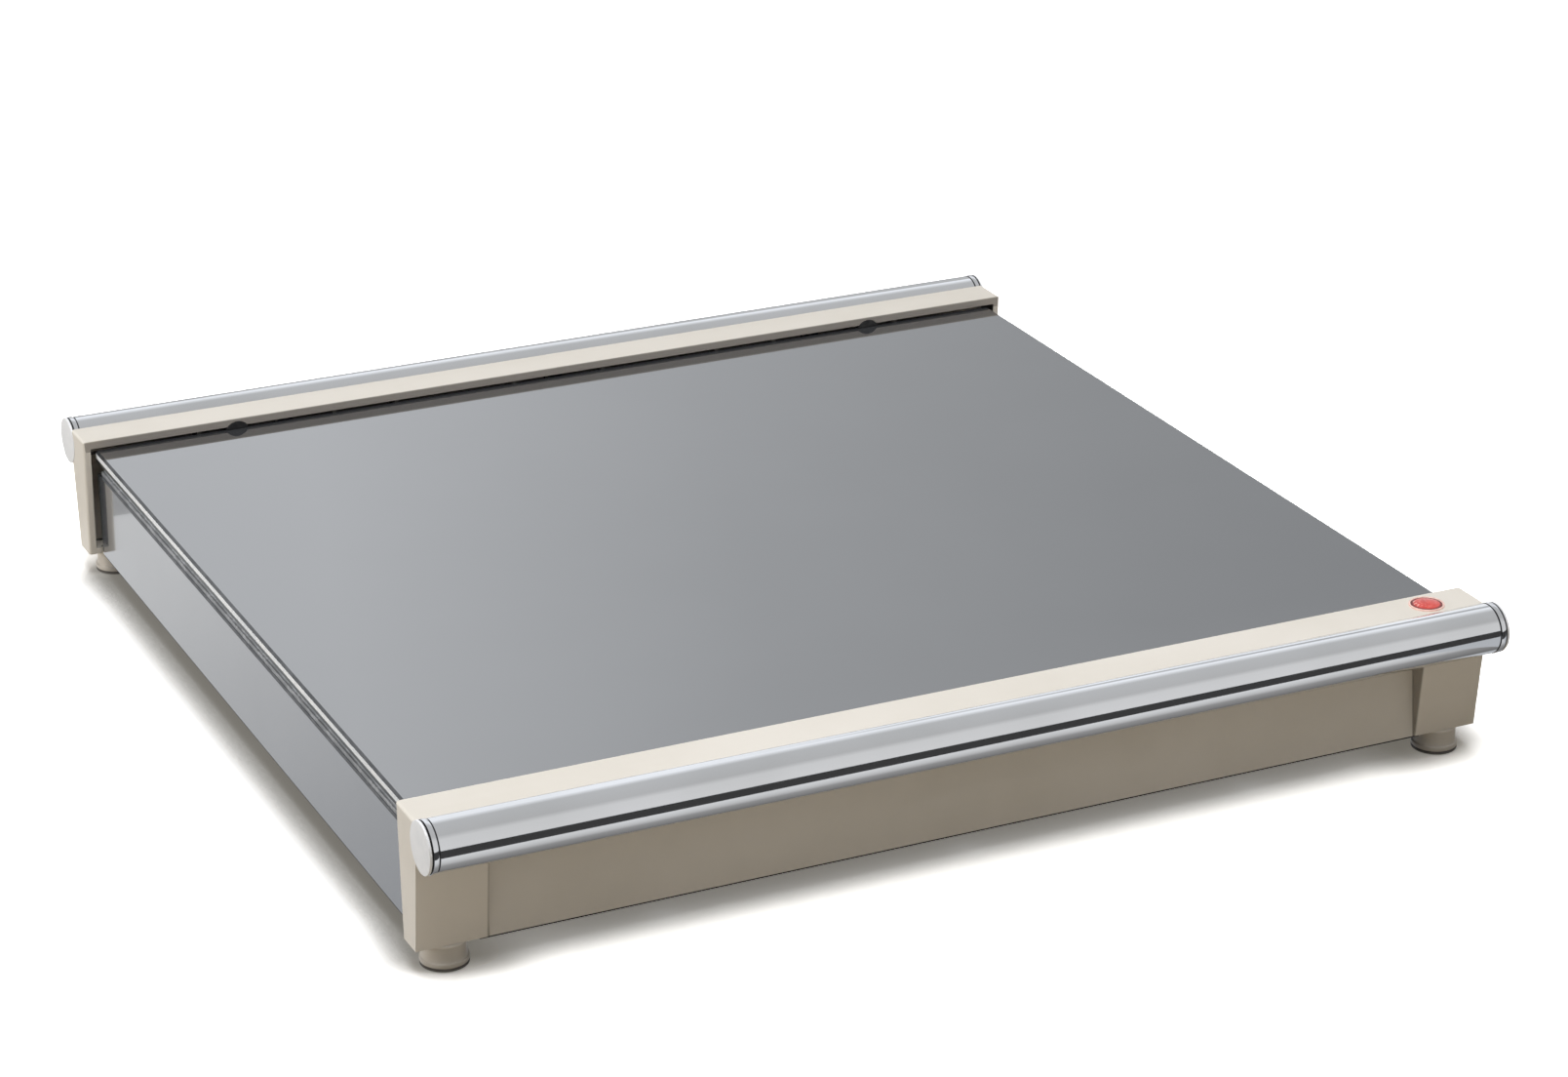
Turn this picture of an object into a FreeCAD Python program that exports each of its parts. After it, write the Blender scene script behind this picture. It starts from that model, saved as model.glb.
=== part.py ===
import FreeCAD, Part
import math
import os

# Electric food warmer tray, in millimetres.
# X runs along the two end beams, Y towards the back, Z up. The origin lies on the floor below the centre.
# An outline point is (o, z): o is the distance from the centre plane towards the front, z the height.

V = FreeCAD.Vector
os.makedirs("parts", exist_ok=True)

# end beams
beam_length = 450.0
beam_wall = 2.4
beam_reach = 25.0
deck_top = 63.5
foot_height = 10.0
lip_thickness = 2.2
lip_height = 3.5
leg_width = 28.0
leg_side_wall = 1.8
leg_set_back = 10.0
leg_lean = 0.105
panel_step = 0.4
panel_lean = -0.105
end_wall = 3.2
floor_wall = 2.5
shelf_drop = 6.1
corner_radius = 1.2
rib_thickness = 1.6
rib_gap = 1.2
rib_shares = (-0.87, -0.55, -0.4, -0.11, 0.11, 0.4, 0.55, 0.87)

# handle tubes
tube_radius = 10.0
tube_wall = 1.2
tube_out = 221.0
tube_drop = 7.4
cradle_gap = 0.3
collar_width = 3.2
collar_proud = 0.2
groove_width = 0.7
groove_depth = 0.35
cap_thickness = 1.2
cap_dome = 0.3
plug_gap = 0.1
plug_length = 12.0
tube_screw_shares = (-0.66, 0.0, 0.66)
tube_end_inset = 3.8

# glass plate and its seal
glass_overhang = 0.5
glass_below_deck = 4.8
glass_under_lip = 2.0
glass_thickness = 5.0
glass_arris = 1.0
glass_corner = 2.0
seal_inset = 1.8
seal_width = 11.0
seal_groove_depth = 1.0
seal_groove_height = 2.6
retainer_radius = 5.75
retainer_rise = 3.4
retainer_gap = 0.1
retainer_proud = 0.3
retainer_depth = 8.0
retainer_share = 0.787

# tray body and bottom cover
body_end_inset = 6.0
body_under_lip = 3.0
body_sheet = 1.0
seal_height = 6.4
body_flange = 11.0
body_corner = 2.0
pocket_gap = 0.6
cover_sheet = 1.0
cover_inset = 0.4
tongue_foot_gap = 2.3
tongue_gap = 0.8
vent_length = 34.0
vent_width = 3.0
vent_pitch = 9.0
vent_count = 7
vent_row_place = 95.0

# heating stack, from the glass down
spreader_inset_x = 17.0
spreader_inset_y = 15.0
spreader_sheet = 1.5
strip_thickness = 0.8
strip_width = 14.0
strip_passes = 8
strip_margin = 1.2
strip_end_room = 26.0
tail_reach = 3.4
tail_drop = 12.0
mica_thickness = 0.8
mica_inset = 0.4
mat_thickness = 14.0
pan_sheet = 0.8
pan_rim = 6.2
pan_gap = 0.4
rail_place = 60.0
rail_height = 10.0
rail_top_width = 20.0
rail_flange = 8.0
rail_sheet = 1.0

# thermostat and thermal fuse
thermostat_share = 0.6
thermostat_radius = 8.0
thermostat_cap_height = 4.0
thermostat_base_height = 6.0
thermostat_hole_gap = 2.0
blade_thickness = 0.8
blade_width = 5.0
blade_spacing = 6.0
blade_length = 8.0
fuse_radius = 2.0
fuse_length = 9.0
lead_radius = 0.6
lead_length = 2.0

# push switch at the right end of the front beam
switch_inset = 22.0
switch_behind_tube = 15.7
button_radius = 6.1
button_gap = 0.15
button_sunk = 0.3
button_rim = 0.8
button_dome = 0.9
button_travel = 1.8
pocket_floor_gap = 0.2
pocket_floor_thickness = 2.2
bezel_outer_radius = 7.1
bezel_height = 0.6
bezel_taper = 0.25
neck_radius = 4.0
neck_bore = 3.0
neck_hole_gap = 0.1
neck_relief_gap = 0.25
stem_radius = 2.2
stem_bore = 1.5
stem_collar_radius = 2.8
stem_guide_gap = 0.1
stem_below_seat = 2.0
spring_seat_depth = 14.5
spring_wire = 0.25
spring_turns = 6
lamp_radius = 1.2
lamp_depth = 6.0
switch_body_depth = 17.5
switch_body_height = 19.0
switch_body_side = 0.4
switch_body_length = 17.0
switch_body_behind = 4.9
switch_body_ahead = 4.6
pillar_length = 5.0
pillar_gap = 0.6
switch_floor_ledge = 0.6
stem_bore_spare = 0.6
cover_boss_reach = 9.0
cover_boss_inset = 1.5
collar_groove_share = 0.36
wall_hole_inside = 3.0
wall_hole_outside = 1.0
inlet_flange_corner = 2.0
pillar_behind = 1.7
pillar_width = 4.3
contact_low_rise = 5.0
contact_high_rise = 10.0
contact_length = 6.0
contact_behind = 4.8
contact_width = 3.0

# feet
foot_inset = 13.5
foot_behind_tube = 17.3
foot_neck_radius = 8.3
foot_base_radius = 9.2
foot_flare_height = 5.2
pad_height = 1.3
pad_bore = 3.8
foot_counterbore = 5.0
foot_boss_radius = 3.6
foot_boss_height = 10.0
foot_notch_gap = 0.8

# screws
screw_radius = 1.4
screw_gap = 0.1
screw_head_radius = 3.2
screw_head_height = 2.0
pan_head_height = 1.6
boss_radius = 3.5
beam_screw_shares = (-0.76, -0.25, 0.25, 0.76)
beam_screw_rise = 20.0
cover_boss_shares = (-0.635, 0.0, 0.635)
cover_boss_set_back = 6.0
cover_boss_height = 10.0
cover_side_shares = (-0.6, 0.0, 0.6)
tube_pad_radius = 4.5
tube_pad_depth = 4.1
foot_screw_reach = 8.0
cover_screw_reach = 8.0
beam_screw_reach = 6.0
tube_screw_reach = 4.0

# appliance inlet in the right side wall
inlet_side_inset = 34.0
inlet_rise = 15.0
inlet_flange_width = 31.0
inlet_flange_height = 24.0
inlet_flange_thickness = 1.6
inlet_body_width = 27.6
inlet_body_height = 20.0
inlet_body_depth = 20.0
inlet_cavity_width = 24.4
inlet_cavity_height = 16.8
inlet_cavity_depth = 16.0
inlet_corner = 4.0
inlet_panel_gap = 0.2
pin_width = 4.0
pin_thickness = 2.0
pin_spacing = 14.0
earth_pin_raise = 4.0
pin_tip_inset = 2.0
tab_length = 7.0

# wires
wire_radius = 1.2
wire_bend = 3.5
wire_spread = 2.2
wire_wall_gap = 9.0
low_run_rise = 7.0
middle_run_rise = 14.0
high_run_rise = 17.0
neutral_run_rise = 4.0
neutral_run_gap = 1.8
earth_run_gap = 11.0
grommet_inset = 37.0
grommet_bore = 5.0
grommet_neck = 6.4
grommet_flange = 8.0
grommet_flange_thickness = 1.2
earth_stud_offset = 40.0
earth_stud_rise = 10.0
earth_stud_radius = 2.0
earth_stud_length = 10.0
earth_stud_foot_radius = 5.0
earth_stud_foot = 2.0

# sizes that follow from the ones above
half_length = beam_length / 2
lip_face = tube_out - beam_reach
post_foot_face = lip_face + lip_thickness
leg_foot_face = tube_out - leg_set_back
panel_foot_face = leg_foot_face - panel_step
leg_inner_x = half_length - leg_width
rib_places = [share * leg_inner_x for share in rib_shares]
tube_height = deck_top - tube_drop
tube_half_length = half_length - tube_end_inset
tube_screw_places = [share * leg_inner_x for share in tube_screw_shares]
tube_pad_inner = tube_out - tube_radius - cradle_gap - tube_pad_depth
cradle_end_height = tube_height - shelf_drop
leg_cavity_x = leg_inner_x + leg_side_wall
post_x = half_length - end_wall
cavity_floor = foot_height + floor_wall
deck_low = deck_top - beam_wall
lip_low = deck_top - lip_height
cradle_radius = tube_radius + cradle_gap
tube_bore = tube_radius - tube_wall
body_half_x = half_length - body_end_inset
body_half_y = lip_face + body_under_lip
glass_half_x = body_half_x + glass_overhang
glass_half_y = lip_face + glass_under_lip
glass_top = deck_top - glass_below_deck
glass_low = glass_top - glass_thickness
body_top = glass_low - seal_height
retainer_place = retainer_share * leg_inner_x
spreader_half_x = body_half_x - spreader_inset_x
spreader_half_y = body_half_y - spreader_inset_y
spreader_low = glass_low - spreader_sheet
strip_low = spreader_low - strip_thickness
mica_low = strip_low - mica_thickness
mat_low = mica_low - mat_thickness
pan_low = mat_low - pan_sheet
rail_low = pan_low - rail_height
strip_pitch = 2 * spreader_half_y / (strip_passes + strip_margin)
strip_half_length = spreader_half_x - strip_end_room
tail_out = spreader_half_x + tail_reach
mat_half_x = spreader_half_x - mica_inset
mat_half_y = spreader_half_y - mica_inset
pan_half_x = mat_half_x + pan_gap + pan_sheet
pan_half_y = mat_half_y + pan_gap + pan_sheet
cover_low = foot_height - cover_sheet
foot_x = half_length - foot_inset
foot_out = tube_out - foot_behind_tube
foot_boss_top = foot_height + foot_boss_height
tongue_half_x = foot_x - foot_base_radius - tongue_foot_gap
beam_screw_places = [share * leg_inner_x for share in beam_screw_shares]
beam_screw_height = foot_height + beam_screw_rise
cover_boss_places = [share * leg_inner_x for share in cover_boss_shares]
cover_boss_out = panel_foot_face - cover_boss_set_back
cover_boss_top = foot_height + cover_boss_height
cover_side_places = [share * body_half_y for share in cover_side_shares]
switch_x = half_length - switch_inset
switch_out = tube_out - switch_behind_tube
button_rim_low = deck_top - button_sunk
button_rim_high = button_rim_low + button_rim
pocket_floor = button_rim_low - button_travel - pocket_floor_gap
spring_seat = deck_top - spring_seat_depth
stem_low = spring_seat - stem_below_seat
lamp_top = deck_top - lamp_depth
switch_body_top = deck_top - switch_body_depth
switch_body_inner = switch_out - switch_body_behind
switch_body_outer = switch_out + switch_body_ahead
contact_inner = switch_out - contact_behind
neck_top = pocket_floor
switch_body_low = switch_body_top - switch_body_height
contact_low_height = switch_body_low + contact_low_rise
contact_high_height = switch_body_low + contact_high_rise
seal_half_x = glass_half_x - seal_inset
seal_half_y = glass_half_y - seal_inset
tail_y = strip_pitch * (strip_passes - 1) / 2
thermostat_x = thermostat_share * spreader_half_x
thermostat_y = strip_pitch / 2 - tail_y
grommet_x = body_half_x - grommet_inset
grommet_height = (contact_low_height + contact_high_height) / 2
inlet_y = body_half_y - inlet_side_inset
inlet_height = foot_height + inlet_rise
inlet_pin_low = inlet_height
earth_stud_y = inlet_y - earth_stud_offset
earth_stud_height = foot_height + earth_stud_rise
inlet_back_x = body_half_x - inlet_body_depth
tab_end_x = inlet_back_x - tab_length


def box(x0, x1, y0, y1, z0, z1):
    """A box between two corners."""
    return Part.makeBox(x1 - x0, y1 - y0, z1 - z0, V(x0, y0, z0))


def post(radius, x, y, z0, z1):
    """An upright cylinder."""
    return Part.makeCylinder(radius, z1 - z0, V(x, y, z0), V(0, 0, 1))


def bar(radius, o0, o1, x, z):
    """A cylinder along Y in the front half, from o0 out to o1."""
    return Part.makeCylinder(radius, o1 - o0, V(x, -o0, z), V(0, -1, 0))


def rod(radius, x0, x1, y, z):
    """A cylinder along X."""
    return Part.makeCylinder(radius, x1 - x0, V(x0, y, z), V(1, 0, 0))


def revolve(outline, x, y):
    """A turned piece about an upright axis, from (radius, z) points."""
    wire = Part.makePolygon([V(x + r, y, z) for r, z in outline + [outline[0]]])
    return Part.Face(wire).revolve(V(x, y, 0), V(0, 0, 1), 360)


def prism(segments, x0, x1):
    """A solid along X. A segment is (o, z) for a line or (middle, end) for an arc."""
    def at(point):
        return V(x0, -point[0], point[1])
    here = segments[-1] if not isinstance(segments[-1][0], tuple) else segments[-1][1]
    edges = []
    for segment in segments:
        if isinstance(segment[0], tuple):
            edges.append(Part.Arc(at(here), at(segment[0]), at(segment[1])).toShape())
            here = segment[1]
        else:
            edges.append(Part.LineSegment(at(here), at(segment)).toShape())
            here = segment
    return Part.Face(Part.Wire(edges)).extrude(V(x1 - x0, 0, 0))


def fuse_all(shapes):
    """One solid from touching shapes."""
    return shapes[0].multiFuse(shapes[1:]).removeSplitter()


def both_ends(shape):
    """The shape and its mirror image at the other end of the beam."""
    return [shape, shape.mirror(V(0, 0, 0), V(1, 0, 0))]


def to_rear(shape):
    """The mirror image in the rear half."""
    return shape.mirror(V(0, 0, 0), V(0, 1, 0))


def four_corners(shape):
    """The shape at all four corners."""
    return both_ends(shape) + [to_rear(one) for one in both_ends(shape)]


def save(name, shapes):
    """Write one node, one or more solids."""
    solids = [solid for shape in shapes for solid in shape.Solids]
    shape = solids[0] if len(solids) == 1 else Part.makeCompound(solids)
    shape.exportStep("parts/" + name + ".step")
    good = all(solid.isValid() for solid in solids)
    print(name, len(solids), "solids, volume", round(shape.Volume, 1), "valid", good)


def lean_at(foot_face, lean, z):
    """How far out a leaning face stands at height z."""
    return foot_face + lean * (z - foot_height)


def cradle_out(radius, z):
    """How far out the back of a circle round the tube's axis stands at height z."""
    return tube_out - math.sqrt(radius ** 2 - (z - tube_height) ** 2)


def cradle_arc(radius, z_from, z_to):
    """An arc segment round the tube's axis between two heights."""
    first = math.atan2(z_from - tube_height, cradle_out(radius, z_from) - tube_out)
    last = math.atan2(z_to - tube_height, cradle_out(radius, z_to) - tube_out)
    first = first % (2 * math.pi)
    last = last % (2 * math.pi)
    middle = (first + last) / 2
    mid = (tube_out + radius * math.cos(middle), tube_height + radius * math.sin(middle))
    return (mid, (cradle_out(radius, z_to), z_to))


def lean_meets_cradle(foot_face, lean, radius):
    """The height at which a leaning face meets a circle round the tube's axis from below."""
    low = tube_height - radius
    high = tube_height
    for _ in range(60):
        middle = (low + high) / 2
        if lean_at(foot_face, lean, middle) < cradle_out(radius, middle):
            low = middle
        else:
            high = middle
    return (low + high) / 2


def leg_outline(inset, z_low, inner_low, inner_high):
    """The section through a leg, drawn inwards by inset on its outer sides."""
    radius = cradle_radius + inset
    face = leg_foot_face - inset * math.hypot(1, leg_lean)
    top = deck_top - inset
    meet = lean_meets_cradle(face, leg_lean, radius)
    return [(inner_high, top), (cradle_out(radius, top), top), cradle_arc(radius, top, meet),
            (lean_at(face, leg_lean, z_low), z_low), (inner_low, z_low)]


def panel_outline(inset, z_low, inner_low, inner_high):
    """The section between the legs: deck, tube cradle, shelf and leaning front panel."""
    radius = cradle_radius + inset
    face = panel_foot_face - inset * math.hypot(1, panel_lean)
    top = deck_top - inset
    shelf = cradle_end_height + inset
    return [(inner_high, top), (cradle_out(radius, top), top), cradle_arc(radius, top, shelf),
            (lean_at(face, panel_lean, shelf), shelf), (lean_at(face, panel_lean, z_low), z_low),
            (inner_low, z_low)]


def beam_shell():
    """The hollow moulding of the front beam, before its ribs and bosses."""
    middle = prism(panel_outline(0, foot_height, post_foot_face, lip_face), -leg_inner_x, leg_inner_x)
    legs = both_ends(prism(leg_outline(0, foot_height, post_foot_face, lip_face), leg_inner_x, half_length))
    outer = fuse_all([middle] + legs)
    corners = [edge for edge in outer.Edges if is_end_corner(edge)]
    outer = outer.makeFillet(corner_radius, corners)
    inner_face = lip_face + lip_thickness
    long_cavity = prism(panel_outline(beam_wall, cavity_floor, inner_face, inner_face), -post_x, post_x)
    leg_cavity = prism(leg_outline(beam_wall, cavity_floor, inner_face, inner_face), leg_cavity_x, post_x)
    mouth = box(-post_x, post_x, -inner_face - 1, -lip_face + 10, cavity_floor, lip_low)
    side_x = body_half_x + pocket_gap
    tray_room = box(-side_x, side_x, -body_half_y - pocket_gap, -lip_face + 10, foot_height - 1, lip_low)
    return outer, [long_cavity, mouth, tray_room] + both_ends(leg_cavity)


def is_end_corner(edge):
    """True for the deck's short edge and the two upright edges at each end."""
    if not isinstance(edge.Curve, Part.Line):
        return False
    box_of = edge.BoundBox
    at_end = abs(abs(box_of.Center.x) - half_length) < 0.01 and box_of.XLength < 0.01
    across_deck = box_of.ZLength < 0.01 and box_of.Center.z > deck_top - 0.01
    inner_edge = box_of.ZLength > 10 and -box_of.Center.y < leg_foot_face - 5
    return at_end and (across_deck or inner_edge)


def switch_seat():
    """The pocket floor and the pillar of the push switch, and what they cut away."""
    y = -switch_out
    floor_low = pocket_floor - pocket_floor_thickness
    floor = post(bezel_outer_radius + switch_floor_ledge, switch_x, y, floor_low, deck_low)
    limit = prism(leg_outline(0, foot_height, post_foot_face, lip_face + lip_thickness),
                  leg_inner_x - leg_width, half_length)
    floor = floor.common(limit)
    left = switch_x - neck_radius - neck_relief_gap
    pillar_near = switch_out - pillar_behind
    pillar_x = left + pillar_gap
    pillar = box(pillar_x, pillar_x + pillar_length, -pillar_near - pillar_width, -pillar_near,
                 foot_height, switch_body_low)
    well = post(button_radius + button_gap, switch_x, y, pocket_floor, deck_top + 1)
    neck_hole = post(neck_radius + neck_hole_gap, switch_x, y, floor_low - 1, pocket_floor + 1)
    relief = post(neck_radius + neck_relief_gap, switch_x, y, switch_body_top, floor_low)
    return [floor, pillar], [well, neck_hole, relief]


def beam(with_switch):
    """One end beam, as it stands at the front."""
    outer, cavities = beam_shell()
    long_cavity = cavities[0]
    added = []
    rib_inner = body_half_y + rib_gap
    for x in rib_places:
        half = rib_thickness / 2
        slab = box(x - half, x + half, -tube_out, -rib_inner, foot_height, deck_top)
        added.append(long_cavity.common(slab))
    for x in beam_screw_places:
        reach = lean_at(panel_foot_face, panel_lean, beam_screw_height) - beam_wall / 2
        added.append(bar(boss_radius, body_half_y, reach, x, beam_screw_height))
    for x in cover_boss_places:
        boss = post(boss_radius, x, -cover_boss_out, foot_height, cover_boss_top)
        left = x - cover_boss_reach
        right = x + cover_boss_reach
        front = -panel_foot_face + cover_boss_inset
        added.append(boss.common(box(left, right, front, 0, foot_height, deck_top)))
    for x in tube_screw_places:
        reach = tube_out - cradle_radius - beam_wall / 2
        added.append(bar(tube_pad_radius, tube_pad_inner, reach, x, tube_height))
    added += both_ends(post(foot_boss_radius, foot_x, -foot_out, foot_height, foot_boss_top))
    cut = []
    pilot = screw_radius + screw_gap
    for x in beam_screw_places:
        cut.append(bar(pilot, body_half_y - 1, body_half_y + beam_screw_reach + 1, x, beam_screw_height))
    for x in cover_boss_places:
        cut.append(post(pilot, x, -cover_boss_out, foot_height - 1, foot_height + cover_screw_reach + 1))
    for x in tube_screw_places:
        cut.append(bar(pilot, tube_pad_inner - 1, tube_out - tube_radius, x, tube_height))
    cut += both_ends(post(pilot, foot_x, -foot_out, foot_height - 1, foot_height + foot_screw_reach + 1))
    notch_height = glass_top + retainer_rise - retainer_radius
    notch = bar(retainer_radius + retainer_gap, lip_face - 1, lip_face + retainer_depth, retainer_place,
                notch_height)
    notch = notch.common(box(0, half_length, -tube_out, 0, lip_low - 0.5, deck_top))
    cut += both_ends(notch)
    if with_switch:
        more_added, more_cut = switch_seat()
        added += more_added
        cut += more_cut
    shell = outer.cut(Part.makeCompound(cavities))
    for cavity in cavities[1:]:
        shell = shell.cut(cavity)
    whole = fuse_all([shell] + added)
    for tool in cut:
        whole = whole.cut(tool)
    return whole.removeSplitter()


def tube():
    """A chrome handle tube with its screw holes."""
    shape = rod(tube_radius, -tube_half_length, tube_half_length, -tube_out, tube_height)
    shape = shape.cut(rod(tube_bore, -half_length, half_length, -tube_out, tube_height))
    for x in tube_screw_places:
        shape = shape.cut(bar(screw_radius + screw_gap, tube_out - tube_radius - 1,
                              tube_out - tube_bore + 1, x, tube_height))
    return shape


def end_collar():
    """The grooved ring at the right end of a tube."""
    outer = tube_radius + collar_proud
    x0 = tube_half_length
    x1 = x0 + collar_width
    ring = rod(outer, x0, x1, -tube_out, tube_height)
    ring = ring.cut(rod(tube_bore, x0 - 1, x1 + 1, -tube_out, tube_height))
    middle = x0 + collar_width * collar_groove_share
    groove = rod(outer + 1, middle, middle + groove_width, -tube_out, tube_height)
    groove = groove.cut(rod(outer - groove_depth, x0, x1, -tube_out, tube_height))
    return ring.cut(groove)


def end_cap():
    """The slightly domed disc at the right end of a tube, with its plug."""
    x0 = tube_half_length + collar_width
    rim = tube_radius + collar_proud - 0.1
    dome_radius = (rim ** 2 + cap_dome ** 2) / (2 * cap_dome)
    disc = rod(rim, x0, x0 + cap_thickness, -tube_out, tube_height)
    dome = Part.makeSphere(dome_radius, V(x0 + cap_thickness - dome_radius, -tube_out, tube_height))
    plug = rod(tube_bore - plug_gap, x0 - plug_length, x0 + 0.01, -tube_out, tube_height)
    hollow = rod(tube_bore - plug_gap - 1.4, x0 - plug_length - 1, x0 - 1, -tube_out, tube_height)
    return disc.common(dome).fuse(plug).cut(hollow).removeSplitter()


def tube_screw(x):
    """A screw from inside the beam into the tube."""
    head = bar(screw_head_radius, tube_pad_inner - screw_head_height, tube_pad_inner, x, tube_height)
    shank = bar(screw_radius, tube_pad_inner, tube_out - tube_bore + tube_screw_reach, x, tube_height)
    return head.fuse(shank)


def retainer():
    """A black half-round stop between the lip's notch and the glass, at the right."""
    centre = glass_top + retainer_rise - retainer_radius
    whole = bar(retainer_radius, lip_face - retainer_proud, lip_face + retainer_depth - retainer_gap,
                retainer_place, centre)
    return whole.common(box(0, half_length, -tube_out, 0, glass_top, deck_top))


def glass_plate():
    """The glass top with ground edges and rounded corners."""
    plate = box(-glass_half_x, glass_half_x, -glass_half_y, glass_half_y, glass_low, glass_top)
    upright = [edge for edge in plate.Edges if edge.BoundBox.ZLength > 1]
    plate = plate.makeFillet(glass_corner, upright)
    rims = [edge for edge in plate.Edges if edge.BoundBox.ZLength < 0.01]
    return plate.makeChamfer(glass_arris, rims)


def glass_seal():
    """The seal frame between the glass and the tray body, with a groove round its outside."""
    def ring(grow, z0, z1):
        return box(-seal_half_x - grow, seal_half_x + grow, -seal_half_y - grow, seal_half_y + grow, z0, z1)
    middle = (body_top + glass_low) / 2
    groove = ring(5, middle - seal_groove_height / 2, middle + seal_groove_height / 2)
    groove = groove.cut(ring(-seal_groove_depth, body_top, glass_low))
    frame = ring(0, body_top, glass_low).cut(ring(-seal_width, body_top - 1, glass_low + 1))
    return frame.cut(groove)


def tray_body():
    """The folded sheet ring with inward flanges at top and bottom."""
    def room(inset, z0, z1):
        x = body_half_x - inset
        y = body_half_y - inset
        return box(-x, x, -y, y, z0, z1)
    outer = room(0, foot_height, body_top)
    outer = outer.makeFillet(body_corner, [edge for edge in outer.Edges if edge.BoundBox.ZLength > 1])
    shape = outer.cut(room(body_sheet, foot_height + body_sheet, body_top - body_sheet))
    shape = shape.cut(room(body_flange, foot_height - 1, body_top + 1))
    hole = screw_radius + 4 * screw_gap
    near = body_half_y - wall_hole_inside
    far = body_half_y + wall_hole_outside
    wall_holes = [bar(hole, near, far, x, beam_screw_height) for x in beam_screw_places]
    wall_holes += [to_rear(one) for one in wall_holes]
    flange_x = body_half_x - body_flange / 2
    wall_holes += [post(hole, sign * flange_x, y, foot_height - 1, foot_height + 2)
                   for sign in (-1, 1) for y in cover_side_places]
    wall_holes.append(bar(grommet_neck + screw_gap, near, far, grommet_x, grommet_height))
    half_width = inlet_body_width / 2 + inlet_panel_gap
    half_height = inlet_body_height / 2 + inlet_panel_gap
    wall_holes.append(box(body_half_x - 3, body_half_x + 1, inlet_y - half_width, inlet_y + half_width,
                          inlet_height - half_height, inlet_height + half_height))
    for tool in wall_holes:
        shape = shape.cut(tool)
    return shape


def bottom_cover():
    """The flat sheet under the tray, with tongues below the two front panels and rows of vents."""
    half_x = body_half_x - cover_inset
    half_y = body_half_y - cover_inset
    tongue_y = panel_foot_face - tongue_gap
    shape = fuse_all([box(-half_x, half_x, -half_y, half_y, cover_low, foot_height),
                      box(-tongue_half_x, tongue_half_x, -tongue_y, tongue_y, cover_low, foot_height)])
    notch = foot_base_radius + foot_notch_gap
    cut = four_corners(post(notch, foot_x, -foot_out, cover_low - 1, foot_height + 1))
    hole = screw_radius + 2 * screw_gap
    for x in cover_boss_places:
        cut.append(post(hole, x, -cover_boss_out, cover_low - 1, foot_height + 1))
        cut.append(post(hole, x, cover_boss_out, cover_low - 1, foot_height + 1))
    flange_x = body_half_x - body_flange / 2
    for y in cover_side_places:
        cut.append(post(hole, flange_x, y, cover_low - 1, foot_height + 1))
        cut.append(post(hole, -flange_x, y, cover_low - 1, foot_height + 1))
    for row in (-1, 1):
        for index in range(vent_count):
            x = (index - (vent_count - 1) / 2) * vent_pitch
            y = row * vent_row_place
            cut.append(box(x - vent_width / 2, x + vent_width / 2, y - vent_length / 2, y + vent_length / 2,
                           cover_low - 1, foot_height + 1))
    for tool in cut:
        shape = shape.cut(tool)
    return shape


def foot():
    """The flared foot at the right front, with its counterbore for the screw."""
    base = V(foot_x + foot_base_radius, -foot_out, pad_height)
    neck = V(foot_x + foot_neck_radius, -foot_out, foot_height - foot_flare_height)
    sag = V(foot_x + foot_neck_radius + 0.25, -foot_out, pad_height + foot_flare_height * 0.45)
    top = V(foot_x + foot_neck_radius, -foot_out, foot_height)
    axis_top = V(foot_x, -foot_out, foot_height)
    axis_low = V(foot_x, -foot_out, pad_height)
    edges = [Part.Arc(base, sag, neck).toShape(), Part.LineSegment(neck, top).toShape(),
             Part.LineSegment(top, axis_top).toShape(), Part.LineSegment(axis_top, axis_low).toShape(),
             Part.LineSegment(axis_low, base).toShape()]
    body = Part.Face(Part.Wire(edges)).revolve(V(foot_x, -foot_out, 0), V(0, 0, 1), 360)
    body = body.cut(post(pad_bore, foot_x, -foot_out, 0, foot_counterbore))
    return body.cut(post(screw_radius + screw_gap, foot_x, -foot_out, 0, foot_height + 1))


def foot_pad():
    """The rubber ring under the foot."""
    ring = post(foot_base_radius, foot_x, -foot_out, 0, pad_height)
    return ring.cut(post(pad_bore, foot_x, -foot_out, -1, pad_height + 1))


def foot_screw():
    """The screw that holds a foot to its leg."""
    head_low = foot_counterbore - screw_head_height
    head = post(screw_head_radius, foot_x, -foot_out, head_low, foot_counterbore)
    shank = post(screw_radius, foot_x, -foot_out, foot_counterbore, foot_height + foot_screw_reach)
    return head.fuse(shank)


def beam_screw(x):
    """A screw from inside the tray through its front wall into the beam."""
    wall_inner = body_half_y - body_sheet
    head = bar(screw_head_radius, wall_inner - screw_head_height, wall_inner, x, beam_screw_height)
    return head.fuse(bar(screw_radius, wall_inner, body_half_y + beam_screw_reach, x, beam_screw_height))


def cover_screw(x, y, reach):
    """A pan head screw from below through the bottom cover."""
    head = post(screw_head_radius, x, y, cover_low - pan_head_height, cover_low)
    return head.fuse(post(screw_radius, x, y, cover_low, foot_height + reach))


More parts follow.
